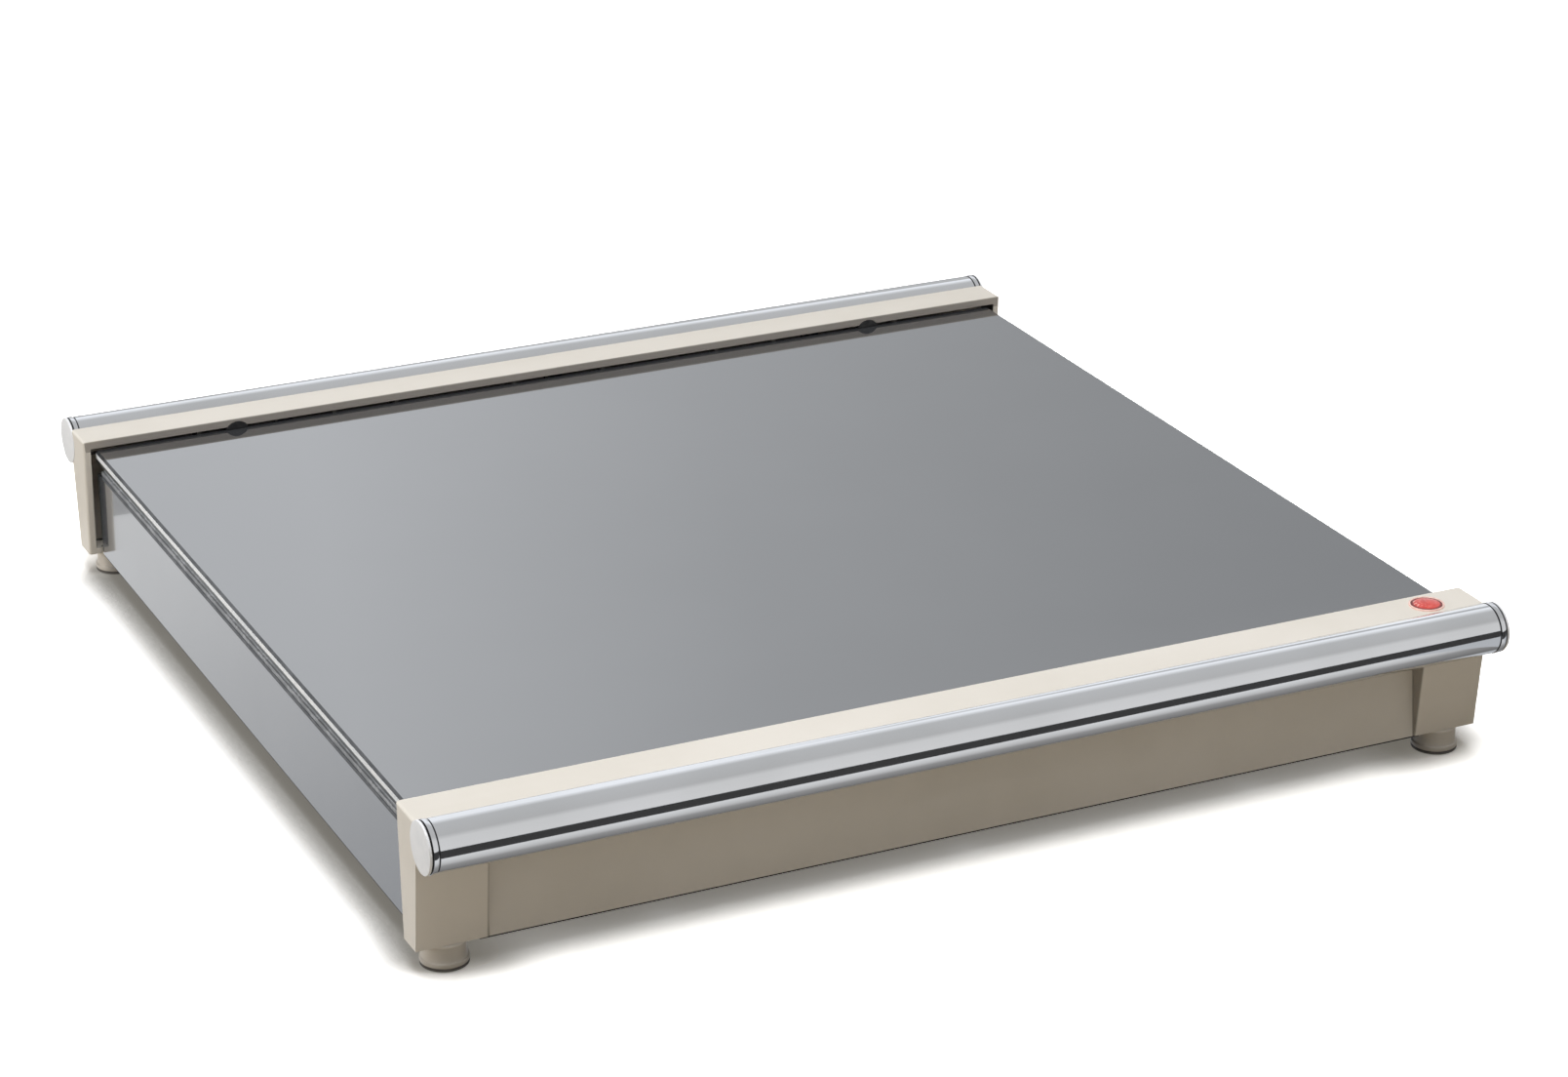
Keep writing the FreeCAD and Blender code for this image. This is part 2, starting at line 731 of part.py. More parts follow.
def heating_element():
    """A flat strip that runs to and fro under the spreader, with a tail at each end."""
    top = spreader_low
    pieces = []
    inner = (strip_pitch - strip_width) / 2
    outer = (strip_pitch + strip_width) / 2
    for index in range(strip_passes):
        y = index * strip_pitch - tail_y
        pieces.append(box(-strip_half_length, strip_half_length, y - strip_width / 2, y + strip_width / 2,
                          strip_low, top))
    for index in range(strip_passes - 1):
        y = index * strip_pitch - tail_y + strip_pitch / 2
        side = -1 if index % 2 == 0 else 1
        x = side * strip_half_length
        ring = post(outer, x, y, strip_low, top).cut(post(inner, x, y, strip_low - 1, top + 1))
        end = x + side * outer
        beyond = box(min(x, end), max(x, end), y - outer, y + outer, strip_low, top)
        pieces.append(ring.common(beyond))
    half_tab = blade_width / 2
    bend = tail_out - strip_thickness
    for y in (-tail_y, tail_y):
        pieces.append(box(strip_half_length, tail_out, y - half_tab, y + half_tab, strip_low, top))
        pieces.append(box(bend, tail_out, y - half_tab, y + half_tab, top - tail_drop, top))
    return fuse_all(pieces)


def thermostat_hole(z0, z1):
    """The room for the thermostat through a layer of the stack."""
    return post(thermostat_radius + thermostat_hole_gap, thermostat_x, thermostat_y, z0 - 1, z1 + 1)


def stack_layer(half_x, half_y, z0, z1):
    """A flat layer of the heating stack with the thermostat's hole."""
    return box(-half_x, half_x, -half_y, half_y, z0, z1).cut(thermostat_hole(z0, z1))


def pressure_pan():
    """The shallow sheet pan that presses the stack up against the glass."""
    outer = box(-pan_half_x, pan_half_x, -pan_half_y, pan_half_y, pan_low, mat_low + pan_rim)
    inner_x = pan_half_x - pan_sheet
    inner_y = pan_half_y - pan_sheet
    inner = box(-inner_x, inner_x, -inner_y, inner_y, mat_low, mat_low + pan_rim + 1)
    return outer.cut(inner).cut(thermostat_hole(pan_low, mat_low))


def support_rail(y):
    """A hat section from side wall to side wall."""
    end = body_half_x - body_sheet
    half = rail_top_width / 2
    t = rail_sheet
    hat = box(-end, end, y - half, y + half, rail_low, pan_low)
    hat = hat.cut(box(-end - 1, end + 1, y - half + t, y + half - t, rail_low - 1, pan_low - t))
    return fuse_all([hat, box(-end, end, y - half - rail_flange, y - half + t, rail_low, rail_low + t),
                     box(-end, end, y + half - t, y + half + rail_flange, rail_low, rail_low + t)])


def thermostat():
    """The snap-disc thermostat: its metal cap, and its base with two blades."""
    cap_low = spreader_low - thermostat_cap_height
    base_low = cap_low - thermostat_base_height
    cap = post(thermostat_radius, thermostat_x, thermostat_y, cap_low, spreader_low)
    base = post(thermostat_radius - 0.8, thermostat_x, thermostat_y, base_low, cap_low)
    blades = [box(x - blade_thickness / 2, x + blade_thickness / 2, thermostat_y - blade_width / 2,
                  thermostat_y + blade_width / 2, base_low - blade_length, base_low)
              for x in (thermostat_x - blade_spacing, thermostat_x + blade_spacing)]
    return cap, base, blades


def thermal_fuse():
    """The fuse below the element's neutral tail, with a lead at each end."""
    x = tail_out - strip_thickness / 2
    top = spreader_low - tail_drop
    return fuse_all([post(lead_radius, x, tail_y, top - lead_length, top),
                     post(fuse_radius, x, tail_y, top - lead_length - fuse_length, top - lead_length),
                     post(lead_radius, x, tail_y, top - 2 * lead_length - fuse_length,
                          top - lead_length - fuse_length)])


def switch_body():
    """The housing below the deck, with the neck that guides the button."""
    y = -switch_out
    left = leg_cavity_x + switch_body_side
    housing = box(left, left + switch_body_length, -switch_body_outer, -switch_body_inner, switch_body_low,
                  switch_body_top)
    neck = post(neck_radius, switch_x, y, switch_body_top - 1, neck_top)
    shape = housing.fuse(neck)
    shape = shape.cut(post(neck_bore, switch_x, y, spring_seat, neck_top + 1))
    guide_low = stem_low - button_travel - 1
    return shape.cut(post(stem_radius + stem_guide_gap, switch_x, y, guide_low, neck_top))


def button_cap():
    """The red lens, a low dome on a flat rim."""
    height = button_dome
    dome_radius = (button_radius ** 2 + height ** 2) / (2 * height)
    rim = post(button_radius, switch_x, -switch_out, button_rim_low, button_rim_high)
    ball = Part.makeSphere(dome_radius, V(switch_x, -switch_out, button_rim_high + height - dome_radius))
    over_rim = post(button_radius, switch_x, -switch_out, button_rim_high, button_rim_high + height)
    dome = ball.common(over_rim)
    return fuse_all([rim, dome])


def button_plunger():
    """The hollow stem under the lens, with the collar that the spring lifts."""
    x = switch_x
    y = -switch_out
    stem = post(stem_radius, x, y, stem_low, button_rim_low)
    collar = post(stem_collar_radius, x, y, neck_top, button_rim_low)
    bore_top = lamp_top + button_travel + stem_bore_spare
    return stem.fuse(collar).cut(post(stem_bore, x, y, stem_low - 1, bore_top)).removeSplitter()


def button_spring():
    """The coil spring between the neck's seat and the plunger's collar."""
    middle = (stem_radius + neck_bore) / 2 + 0.02
    height = neck_top - spring_seat - 2 * spring_wire
    helix = Part.makeHelix(height / spring_turns, height, middle)
    wire = Part.makeCircle(spring_wire, V(middle, 0, 0), V(0, 1, 0))
    coil = Part.Wire(helix.Edges).makePipeShell([Part.Wire([wire])], True, False)
    coil.translate(V(switch_x, -switch_out, spring_seat + spring_wire))
    return coil


def bezel():
    """The pale ring round the lens."""
    inner = button_radius + button_gap
    outer = bezel_outer_radius
    top = deck_top + bezel_height
    outline = [(inner, deck_top), (outer, deck_top), (outer - bezel_taper, top), (inner, top)]
    return revolve(outline, switch_x, -switch_out)


def switch_contact(z):
    """A blade on the left side of the switch body."""
    left = leg_cavity_x + switch_body_side
    return box(left - contact_length, left, -contact_inner - contact_width, -contact_inner,
               z - blade_thickness / 2, z + blade_thickness / 2)


def inlet_outline(width, height, corner, x, y, z):
    """The inlet's section, a rectangle with its two upper corners cut, across X."""
    left = y - width / 2
    right = y + width / 2
    low = z - height / 2
    high = z + height / 2
    points = [V(x, left, low), V(x, right, low), V(x, right, high - corner), V(x, right - corner, high),
              V(x, left + corner, high), V(x, left, high - corner)]
    return Part.Face(Part.makePolygon(points + [points[0]]))


def inlet_housing():
    """The appliance inlet: a flange on the wall, a body behind it and a cavity for the connector."""
    face = body_half_x + inlet_flange_thickness
    flange = box(body_half_x, face, inlet_y - inlet_flange_width / 2, inlet_y + inlet_flange_width / 2,
                 inlet_height - inlet_flange_height / 2, inlet_height + inlet_flange_height / 2)
    corners = [edge for edge in flange.Edges if edge.BoundBox.XLength > 1]
    flange = flange.makeFillet(inlet_flange_corner, corners)
    body = box(inlet_back_x, body_half_x, inlet_y - inlet_body_width / 2, inlet_y + inlet_body_width / 2,
               inlet_height - inlet_body_height / 2, inlet_height + inlet_body_height / 2)
    cavity = inlet_outline(inlet_cavity_width, inlet_cavity_height, inlet_corner, face - inlet_cavity_depth,
                           inlet_y, inlet_height).extrude(V(inlet_cavity_depth + 1, 0, 0))
    shape = fuse_all([flange, body]).cut(cavity)
    for pin in inlet_pins():
        shape = shape.cut(pin)
    return shape


def inlet_places():
    """Where the live, earth and neutral pins stand across the inlet."""
    half = pin_spacing / 2
    return [(inlet_y - half, inlet_pin_low), (inlet_y, inlet_pin_low + earth_pin_raise),
            (inlet_y + half, inlet_pin_low)]


def inlet_pins():
    """The three flat pins, each with its tab behind the body."""
    tip = body_half_x + inlet_flange_thickness - pin_tip_inset
    half_y = pin_thickness / 2
    half_z = pin_width / 2
    return [box(tab_end_x, tip, y - half_y, y + half_y, z - half_z, z + half_z) for y, z in inlet_places()]


def wire_run(points):
    """A round wire along straight runs joined by tangent arcs."""
    edges = []
    here = V(*points[0])
    for index in range(1, len(points) - 1):
        corner = V(*points[index])
        before = (V(*points[index - 1]) - corner).normalize()
        after = (V(*points[index + 1]) - corner).normalize()
        start = corner + before * wire_bend
        end = corner + after * wire_bend
        centre = start + after * wire_bend
        middle = centre + (corner - centre).normalize() * wire_bend
        if (start - here).Length > 1e-6:
            edges.append(Part.LineSegment(here, start).toShape())
        edges.append(Part.Arc(start, middle, end).toShape())
        here = end
    edges.append(Part.LineSegment(here, V(*points[-1])).toShape())
    direction = V(*points[1]) - V(*points[0])
    circle = Part.Wire([Part.makeCircle(wire_radius, V(*points[0]), direction)])
    return Part.Wire(edges).makePipeShell([circle], True, False)


def wires():
    """The five wires between inlet, switch, thermostat, element and earth stud."""
    live_y, live_z = inlet_places()[0]
    earth_y, earth_z = inlet_places()[1]
    neutral_y, neutral_z = inlet_places()[2]
    contact_x = leg_cavity_x + switch_body_side - contact_length
    contact_y = -contact_inner - contact_width / 2
    wall_y = wire_wall_gap - body_half_y
    live_x = grommet_x + wire_spread
    back_x = grommet_x - wire_spread
    low_z = foot_height + low_run_rise
    mid_z = foot_height + middle_run_rise
    high_z = foot_height + high_run_rise
    neutral_z_low = foot_height + neutral_run_rise
    blade_low = spreader_low - thermostat_cap_height - thermostat_base_height - blade_length
    first_blade = thermostat_x + blade_spacing
    second_blade = thermostat_x - blade_spacing
    tail_x = tail_out - strip_thickness / 2
    tail_low = spreader_low - tail_drop
    fuse_low = tail_low - 2 * lead_length - fuse_length
    earth_x = back_x - earth_run_gap
    neutral_x = back_x - neutral_run_gap
    stud_tip = body_half_x - body_sheet - earth_stud_length
    return {
        "live_wire": [(tab_end_x, live_y, live_z), (live_x, live_y, live_z), (live_x, live_y, low_z),
                      (live_x, wall_y, low_z), (live_x, wall_y, contact_low_height),
                      (live_x, contact_y, contact_low_height), (contact_x, contact_y, contact_low_height)],
        "switched_wire": [(contact_x, contact_y, contact_high_height),
                          (back_x, contact_y, contact_high_height),
                          (back_x, wall_y, contact_high_height), (back_x, wall_y, mid_z),
                          (back_x, thermostat_y, mid_z), (first_blade, thermostat_y, mid_z),
                          (first_blade, thermostat_y, blade_low)],
        "element_wire": [(second_blade, thermostat_y, blade_low), (second_blade, thermostat_y, high_z),
                         (second_blade, -tail_y, high_z), (tail_x, -tail_y, high_z),
                         (tail_x, -tail_y, tail_low)],
        "neutral_wire": [(tab_end_x, neutral_y, neutral_z), (neutral_x, neutral_y, neutral_z),
                         (neutral_x, tail_y, neutral_z), (neutral_x, tail_y, neutral_z_low),
                         (tail_x, tail_y, neutral_z_low), (tail_x, tail_y, fuse_low)],
        "earth_wire": [(tab_end_x, earth_y, earth_z), (earth_x, earth_y, earth_z),
                       (earth_x, earth_y, earth_stud_height), (earth_x, earth_stud_y, earth_stud_height),
                       (stud_tip, earth_stud_y, earth_stud_height)],
    }


def grommet():
    """The rubber bush where the switch wires pass the tray's front wall."""
    y_in = body_half_y - body_sheet
    outer = fuse_all([bar(grommet_flange, y_in - grommet_flange_thickness, y_in, grommet_x, grommet_height),
                      bar(grommet_neck, y_in, body_half_y, grommet_x, grommet_height)])
    return outer.cut(bar(grommet_bore, y_in - 5, body_half_y + 1, grommet_x, grommet_height))


def earth_stud():
    """The stud on the right side wall that the earth wire ends on."""
    wall = body_half_x - body_sheet
    foot_plate = rod(earth_stud_foot_radius, wall - earth_stud_foot, wall, earth_stud_y, earth_stud_height)
    stud = rod(earth_stud_radius, wall - earth_stud_length, wall, earth_stud_y, earth_stud_height)
    return foot_plate.fuse(stud)


def build():
    """Make every node."""
    front = beam(True)
    save("front_beam", [front])
    save("rear_beam", [to_rear(beam(False))])
    save("front_tube", [tube()])
    save("rear_tube", [to_rear(tube())])
    places = ("front_right", "front_left", "rear_right", "rear_left")
    for name, shape in zip(places, four_corners(end_collar())):
        save("tube_collar_" + name, [shape])
    for name, shape in zip(places, four_corners(end_cap())):
        save("tube_cap_" + name, [shape])
    for name, shape in zip(places, four_corners(foot())):
        save("foot_" + name, [shape])
    for name, shape in zip(places, four_corners(foot_pad())):
        save("foot_pad_" + name, [shape])
    front_tube_screws = [tube_screw(x) for x in tube_screw_places]
    save("tube_screws", front_tube_screws + [to_rear(one) for one in front_tube_screws])
    save("foot_screws", four_corners(foot_screw()))
    front_beam_screws = [beam_screw(x) for x in beam_screw_places]
    save("beam_screws", front_beam_screws + [to_rear(one) for one in front_beam_screws])
    end_screws = [cover_screw(x, -cover_boss_out, cover_screw_reach) for x in cover_boss_places]
    flange_x = body_half_x - body_flange / 2
    side_screws = [cover_screw(sign * flange_x, y, cover_screw_reach / 2)
                   for sign in (-1, 1) for y in cover_side_places]
    save("cover_screws", end_screws + [to_rear(one) for one in end_screws] + side_screws)
    save("glass_plate", [glass_plate()])
    save("glass_seal", [glass_seal()])
    save("glass_retainers", four_corners(retainer()))
    save("tray_body", [tray_body()])
    save("bottom_cover", [bottom_cover()])
    save("heat_spreader", [box(-spreader_half_x, spreader_half_x, -spreader_half_y, spreader_half_y,
                               spreader_low, glass_low)])
    save("heating_element", [heating_element()])
    save("mica_sheet", [stack_layer(mat_half_x, mat_half_y, mica_low, strip_low)])
    save("insulation_mat", [stack_layer(mat_half_x, mat_half_y, mat_low, mica_low)])
    save("pressure_pan", [pressure_pan()])
    save("support_rails", [support_rail(-rail_place), support_rail(rail_place)])
    cap, base, blades = thermostat()
    save("thermostat_cap", [cap])
    save("thermostat_base", [base])
    save("thermostat_blades", blades)
    save("thermal_fuse", [thermal_fuse()])
    save("switch_body", [switch_body()])
    save("switch_contacts", [switch_contact(contact_low_height), switch_contact(contact_high_height)])
    save("pilot_lamp", [post(lamp_radius, switch_x, -switch_out, stem_low - button_travel - 1, lamp_top)])
    save("button_bezel", [bezel()])
    save("button_cap", [button_cap()])
    save("button_plunger", [button_plunger()])
    save("button_spring", [button_spring()])
    save("inlet_housing", [inlet_housing()])
    save("inlet_pins", inlet_pins())
    for name, points in wires().items():
        save(name, [wire_run(points)])
    save("wire_grommet", [grommet()])
    save("earth_stud", [earth_stud()])


build()
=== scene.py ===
import math
import bpy
from mathutils import Matrix, Vector
from mathutils.bvhtree import BVHTree


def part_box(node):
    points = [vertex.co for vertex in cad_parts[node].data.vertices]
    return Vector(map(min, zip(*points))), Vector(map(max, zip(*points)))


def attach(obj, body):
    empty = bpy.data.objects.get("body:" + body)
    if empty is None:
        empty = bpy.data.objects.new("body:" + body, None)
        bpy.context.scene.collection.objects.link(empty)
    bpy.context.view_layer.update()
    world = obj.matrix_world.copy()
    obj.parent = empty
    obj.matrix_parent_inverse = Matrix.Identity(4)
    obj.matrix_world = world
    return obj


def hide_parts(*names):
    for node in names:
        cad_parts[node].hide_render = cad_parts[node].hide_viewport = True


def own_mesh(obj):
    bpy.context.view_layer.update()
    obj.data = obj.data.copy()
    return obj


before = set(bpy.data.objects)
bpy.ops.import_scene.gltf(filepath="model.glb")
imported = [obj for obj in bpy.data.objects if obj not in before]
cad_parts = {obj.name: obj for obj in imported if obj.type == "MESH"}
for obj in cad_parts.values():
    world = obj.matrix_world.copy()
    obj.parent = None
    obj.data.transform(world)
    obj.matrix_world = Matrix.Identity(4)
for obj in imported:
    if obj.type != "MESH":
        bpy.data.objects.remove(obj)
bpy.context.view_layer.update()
mm = 0.001
print("frame loaded:", len(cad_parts), "nodes")


# A socket with Python's operators. Each one adds a Math node.
class Signal:
    def __init__(self, board, socket):
        self.board = board
        self.socket = socket

    def maths(self, operation, first, second=0.0):
        return self.board.node("ShaderNodeMath", {"operation": operation}, {0: first, 1: second})

    def __add__(self, other):
        return self.maths("ADD", self, other)

    def __sub__(self, other):
        return self.maths("SUBTRACT", self, other)

    def __rsub__(self, other):
        return self.maths("SUBTRACT", other, self)

    def __mul__(self, other):
        return self.maths("MULTIPLY", self, other)

    def __truediv__(self, other):
        return self.maths("DIVIDE", self, other)

    def __pow__(self, other):
        return self.maths("POWER", self, other)

    def __gt__(self, other):
        return self.maths("GREATER_THAN", self, other)

    def __lt__(self, other):
        return self.maths("LESS_THAN", self, other)

    def __abs__(self):
        return self.maths("ABSOLUTE", self)

    def sine(self):
        return self.maths("SINE", self)

    def spread(self, low, high, toLow=0.0, toHigh=1.0):
        return self.board.node(
            "ShaderNodeMapRange", {"interpolation_type": "SMOOTHSTEP"},
            {"Value": self, "From Min": low, "From Max": high, "To Min": toLow, "To Max": toHigh})

    def slope(self, low, high):
        return self.board.node("ShaderNodeMapRange", {}, {"Value": self, "From Min": low, "From Max": high})

    def ramp(self, stops):
        return self.board.node("ShaderNodeValToRGB", {"stops": stops}, {"Fac": self})


# A node tree to which nodes are added by type, settings and sockets.
class Board:
    def __init__(self, tree):
        self.tree = tree
        self.tree.nodes.clear()

    def node(self, kind, settings=None, sockets=None, output=0):
        made = self.tree.nodes.new(kind)
        for name, value in (settings or {}).items():
            if name == "stops":
                self.setStops(made.color_ramp.elements, value)
            else:
                setattr(made, name, value)
        for name, value in (sockets or {}).items():
            if isinstance(value, Signal):
                self.tree.links.new(value.socket, made.inputs[name])
            else:
                made.inputs[name].default_value = value
        return Signal(self, made.outputs[output])

    def setStops(self, elements, stops):
        while len(elements) < len(stops):
            elements.new(0.5)
        for element, (place, colour) in zip(elements, stops):
            element.position = place
            element.color = (*colour, 1.0)

    def place(self, scale=(1.0, 1.0, 1.0), move=(0.0, 0.0, 0.0)):
        coordinates = self.node("ShaderNodeTexCoord", output="Object")
        return self.node("ShaderNodeMapping", {}, {"Vector": coordinates, "Scale": scale, "Location": move})

    def parts(self, vector=None):
        split = self.node("ShaderNodeSeparateXYZ", {}, {"Vector": vector or self.place()})
        outputs = split.socket.node.outputs
        return [Signal(self, outputs[name]) for name in ("X", "Y", "Z")]

    def noise(self, size, detail=4.0, roughness=0.5, stretch=(1.0, 1.0, 1.0)):
        where = self.place(stretch)
        return self.node("ShaderNodeTexNoise", {"noise_dimensions": "3D"},
                         {"Vector": where, "Scale": 1.0 / size, "Detail": detail, "Roughness": roughness})

    def cells(self, size, output="Distance"):
        return self.node("ShaderNodeTexVoronoi", {"feature": "F1"},
                         {"Vector": self.place(), "Scale": 1.0 / size}, output)

    def blend(self, amount, first, second, way="MIX"):
        made = self.node("ShaderNodeMix", {"data_type": "RGBA", "blend_type": way}, {0: amount}, 2)
        for index, value in ((6, first), (7, second)):
            socket = made.socket.node.inputs[index]
            if isinstance(value, Signal):
                self.tree.links.new(value.socket, socket)
            else:
                socket.default_value = (*value, 1.0)
        return made

    def mottle(self, noise, first, second):
        return self.blend(noise.spread(0.3, 0.75), first, second)

    def relief(self, height, depth):
        return self.node("ShaderNodeBump", {}, {"Height": height, "Strength": 1.0, "Distance": depth})

    def end(self, surface, kind):
        output = self.tree.nodes.new(kind)
        self.tree.links.new(surface.socket, output.inputs["Surface"])

    def coat(self, sockets):
        self.end(self.node("ShaderNodeBsdfPrincipled", {}, sockets), "ShaderNodeOutputMaterial")

    def path(self, *names):
        outputs = self.node("ShaderNodeLightPath").socket.node.outputs
        return [Signal(self, outputs[name]) for name in names]


def newFinish(name):
    material = bpy.data.materials.new(name)
    material.use_nodes = True
    return material, Board(material.node_tree)


# Finishes that show from outside
glassLook = {
    "base": (0.045, 0.047, 0.051), "pale": 1.2, "rough": 0.035, "smear": 0.03, "dust": 0.012, "index": 2.8,
    "coat": 1.0,
    # the ground edge, and a painted shade line at its foot, standing for the shade under the edge, that
    # fades out between these heights
    "edgeDark": (0.80, 0.84, 0.88), "edgePale": (0.94, 0.96, 0.98), "scratch": (0.45, 0.47, 0.50),
    "line": (0.016, 0.016, 0.018), "lineTop": (0.0553, 0.0557),
}


def makeGlassFinish():
    material, board = newFinish("darkGlass")
    haze = board.noise(0.09, 3.0, 0.55)
    dust = board.noise(0.0035, 2.0, 0.6)
    pale = [level * glassLook["pale"] for level in glassLook["base"]]
    tone = board.mottle(haze, glassLook["base"], pale)
    rough = haze * glassLook["smear"] + dust * glassLook["dust"] + glassLook["rough"]
    normal = board.relief(board.noise(0.16, 1.0, 0.4), 0.00006)
    board.coat({"Base Color": tone, "Roughness": rough, "IOR": glassLook["index"], "Normal": normal,
                "Coat Weight": glassLook["coat"], "Coat Roughness": 0.03, "Coat IOR": 1.8})
    return material


def makeGlassEdgeFinish():
    material, board = newFinish("groundGlassEdge")
    grind = board.noise(0.0011, 4.0, 0.65, (1.0, 1.0, 2.5))
    patches = board.noise(0.028, 3.0, 0.6)
    tone = board.blend(patches.spread(0.35, 0.7), glassLook["edgeDark"], glassLook["edgePale"])
    tone = board.blend(grind.spread(0.5, 0.72, 0.0, 0.5), tone, glassLook["scratch"])
    # painted shade: the foot of the ground edge turns to a dark line
    z = board.parts()[2]
    low, high = glassLook["lineTop"]
    tone = board.blend(z.spread(low, high, 1.0, 0.0), tone, glassLook["line"])
    board.coat({"Base Color": tone, "Roughness": grind * 0.2 + 0.22, "IOR": 1.5,
                "Normal": board.relief(grind, 0.00002)})
    return material


beamLook = {
    "base": (0.79, 0.745, 0.675), "shade": (0.74, 0.695, 0.62), "pale": (0.83, 0.79, 0.73),
    "rough": 0.32, "grain": 0.00045,
    # the painted shade in the corner where a leg meets the panel: its place, its edges and its top
    "legShade": (0.16, 0.14, 0.115), "legFrom": 0.1969, "legShadeCore": 0.0002, "legShadeWidth": 0.0009,
    "legShadeOut": 0.2, "legShadeTop": 0.046, "legShadeDepth": 0.6,
    # painted shade on the lip over the glass, which ends below the deck
    "lip": (0.44, 0.402, 0.36), "lipFrom": 0.1962, "lipTop": 0.0628, "deckUnder": 0.0634,
    # painted shade: the feet, low under the body, are a little darker than the beams above them
    "foot": (0.60, 0.555, 0.49), "footTop": 0.0088, "beamUnder": 0.0096,
}


def makeBeamFinish():
    material, board = newFinish("beigeMoulding")
    cloud = board.noise(0.06, 4.0, 0.55)
    grain = board.noise(beamLook["grain"], 2.0, 0.7)
    flow = board.noise(0.02, 3.0, 0.5, (0.15, 1.0, 1.0))
    tone = board.mottle(cloud, beamLook["base"], beamLook["shade"])
    tone = board.blend(flow.spread(0.55, 0.8, 0.0, 0.25), tone, beamLook["pale"])
    x, y, z = board.parts()
    # painted shade in the corner beside each leg
    legShade = abs(abs(x) - beamLook["legFrom"]).spread(beamLook["legShadeCore"], beamLook["legShadeWidth"], 1.0, 0.0)
    legShade = legShade * (abs(y) > beamLook["legShadeOut"]) * (z < beamLook["legShadeTop"])
    tone = board.blend(legShade * beamLook["legShadeDepth"], tone, beamLook["legShade"])
    # painted shade on the inner lip under the deck
    lip = (abs(y) < beamLook["lipFrom"]) * z.spread(beamLook["lipTop"], beamLook["deckUnder"], 1.0, 0.0)
    tone = board.blend(lip, tone, beamLook["lip"])
    # painted shade on the feet
    foot = z.spread(beamLook["footTop"], beamLook["beamUnder"], 1.0, 0.0)
    tone = board.blend(foot, tone, beamLook["foot"])
    rough = grain * 0.12 + cloud * 0.08 + beamLook["rough"]
    board.coat({"Base Color": tone, "Roughness": rough, "IOR": 1.5,
                "Normal": board.relief(grain, 0.00003)})
    return material


tubeLook = {"base": (0.88, 0.885, 0.9), "dull": (0.82, 0.825, 0.835), "rough": 0.045, "haze": 0.03}


def makeTubeFinish():
    material, board = newFinish("chromePlate")
    polish = board.noise(0.0016, 3.0, 0.55, (0.04, 1.0, 1.0))
    haze = board.noise(0.05, 3.0, 0.5)
    tone = board.blend(haze.spread(0.35, 0.75), tubeLook["base"], tubeLook["dull"])
    rough = polish * 0.035 + haze * tubeLook["haze"] + tubeLook["rough"]
    board.coat({"Base Color": tone, "Metallic": 1.0, "Roughness": rough,
                "Normal": board.relief(polish, 0.0000015)})
    return material


capLook = {
    "light": (0.93, 0.94, 0.96), "dark": (0.87, 0.885, 0.91), "metal": 0.12, "rough": 0.35,
    "rings": 9000.0,  # turning marks, as the sine's angle for each metre of radius
}


def makeCapFinish():
    material, board = newFinish("satinDisc")
    y, z = board.parts()[1:]
    across = abs(y) - tubeSizes["out"]
    up = z - tubeSizes["height"]
    radius = (across * across + up * up) ** 0.5
    rings = (radius * capLook["rings"]).sine()
    cloud = board.noise(0.006, 3.0, 0.5)
    tone = board.mottle(cloud, capLook["light"], capLook["dark"])
    rough = cloud * 0.14 + capLook["rough"]
    board.coat({"Base Color": tone, "Metallic": capLook["metal"], "Roughness": rough,
                "Normal": board.relief(rings, 0.000004)})
    return material


sheetLook = {"base": (0.085, 0.09, 0.10), "pale": 1.3, "rough": 0.14, "index": 2.9, "coat": 0.8}


def makeBodyFinish():
    material, board = newFinish("enamelledSheet")
    peel = board.noise(0.0022, 2.0, 0.5)
    cloud = board.noise(0.05, 3.0, 0.5)
    pale = [level * sheetLook["pale"] for level in sheetLook["base"]]
    tone = board.mottle(cloud, sheetLook["base"], pale)
    board.coat({"Base Color": tone, "Roughness": cloud * 0.04 + sheetLook["rough"],
                "IOR": sheetLook["index"], "Coat Weight": sheetLook["coat"], "Coat Roughness": 0.04,
                "Coat IOR": 1.6, "Normal": board.relief(peel, 0.000003)})
    return material


coverLook = {"dark": (0.03, 0.03, 0.032), "light": (0.05, 0.05, 0.052), "rough": 0.6, "shine": 0.15}


def makeCoverFinish():
    material, board = newFinish("coverPaint")
    peel = board.noise(0.0015, 2.0, 0.6)
    cloud = board.noise(0.04, 4.0, 0.55)
    tone = board.mottle(cloud, coverLook["dark"], coverLook["light"])
    board.coat({"Base Color": tone, "Roughness": cloud * 0.15 + coverLook["rough"],
                "Specular IOR Level": coverLook["shine"], "Normal": board.relief(peel, 0.00002)})
    return material


def makeRubberFinish(name, dark, light):
    material, board = newFinish(name)
    grain = board.noise(0.0005, 3.0, 0.6)
    dust = board.noise(0.007, 4.0, 0.6)
    tone = board.blend(dust.spread(0.45, 0.8), dark, light)
    board.coat({"Base Color": tone, "Roughness": dust * 0.2 + 0.5, "IOR": 1.5,
                "Normal": board.relief(grain, 0.00003)})
    return material


sealLook = {
    "dark": (0.27, 0.28, 0.295), "pale": (0.56, 0.575, 0.60), "rough": 0.3,
    # painted shade: the seal's top lies under the glass's overhang and is given as a near-black line
    "line": (0.012, 0.012, 0.013), "lineFrom": 0.0519,  # the dark line under the glass
}


def makeSealFinish():
    material, board = newFinish("siliconeSeal")
    smear = board.noise(0.006, 4.0, 0.65, (1.0, 0.5, 2.0))
    spots = board.noise(0.0018, 3.0, 0.7)
    z = board.parts()[2]
    mottle = smear.spread(0.38, 0.62) * spots.spread(0.3, 0.62)
    tone = board.blend(mottle, sealLook["dark"], sealLook["pale"])
    # painted shade under the glass's overhang
    tone = board.blend(z > sealLook["lineFrom"], tone, sealLook["line"])
    board.coat({"Base Color": tone, "Roughness": smear * 0.2 + sealLook["rough"], "IOR": 1.45,
                "Normal": board.relief(spots, 0.00012)})
    return material


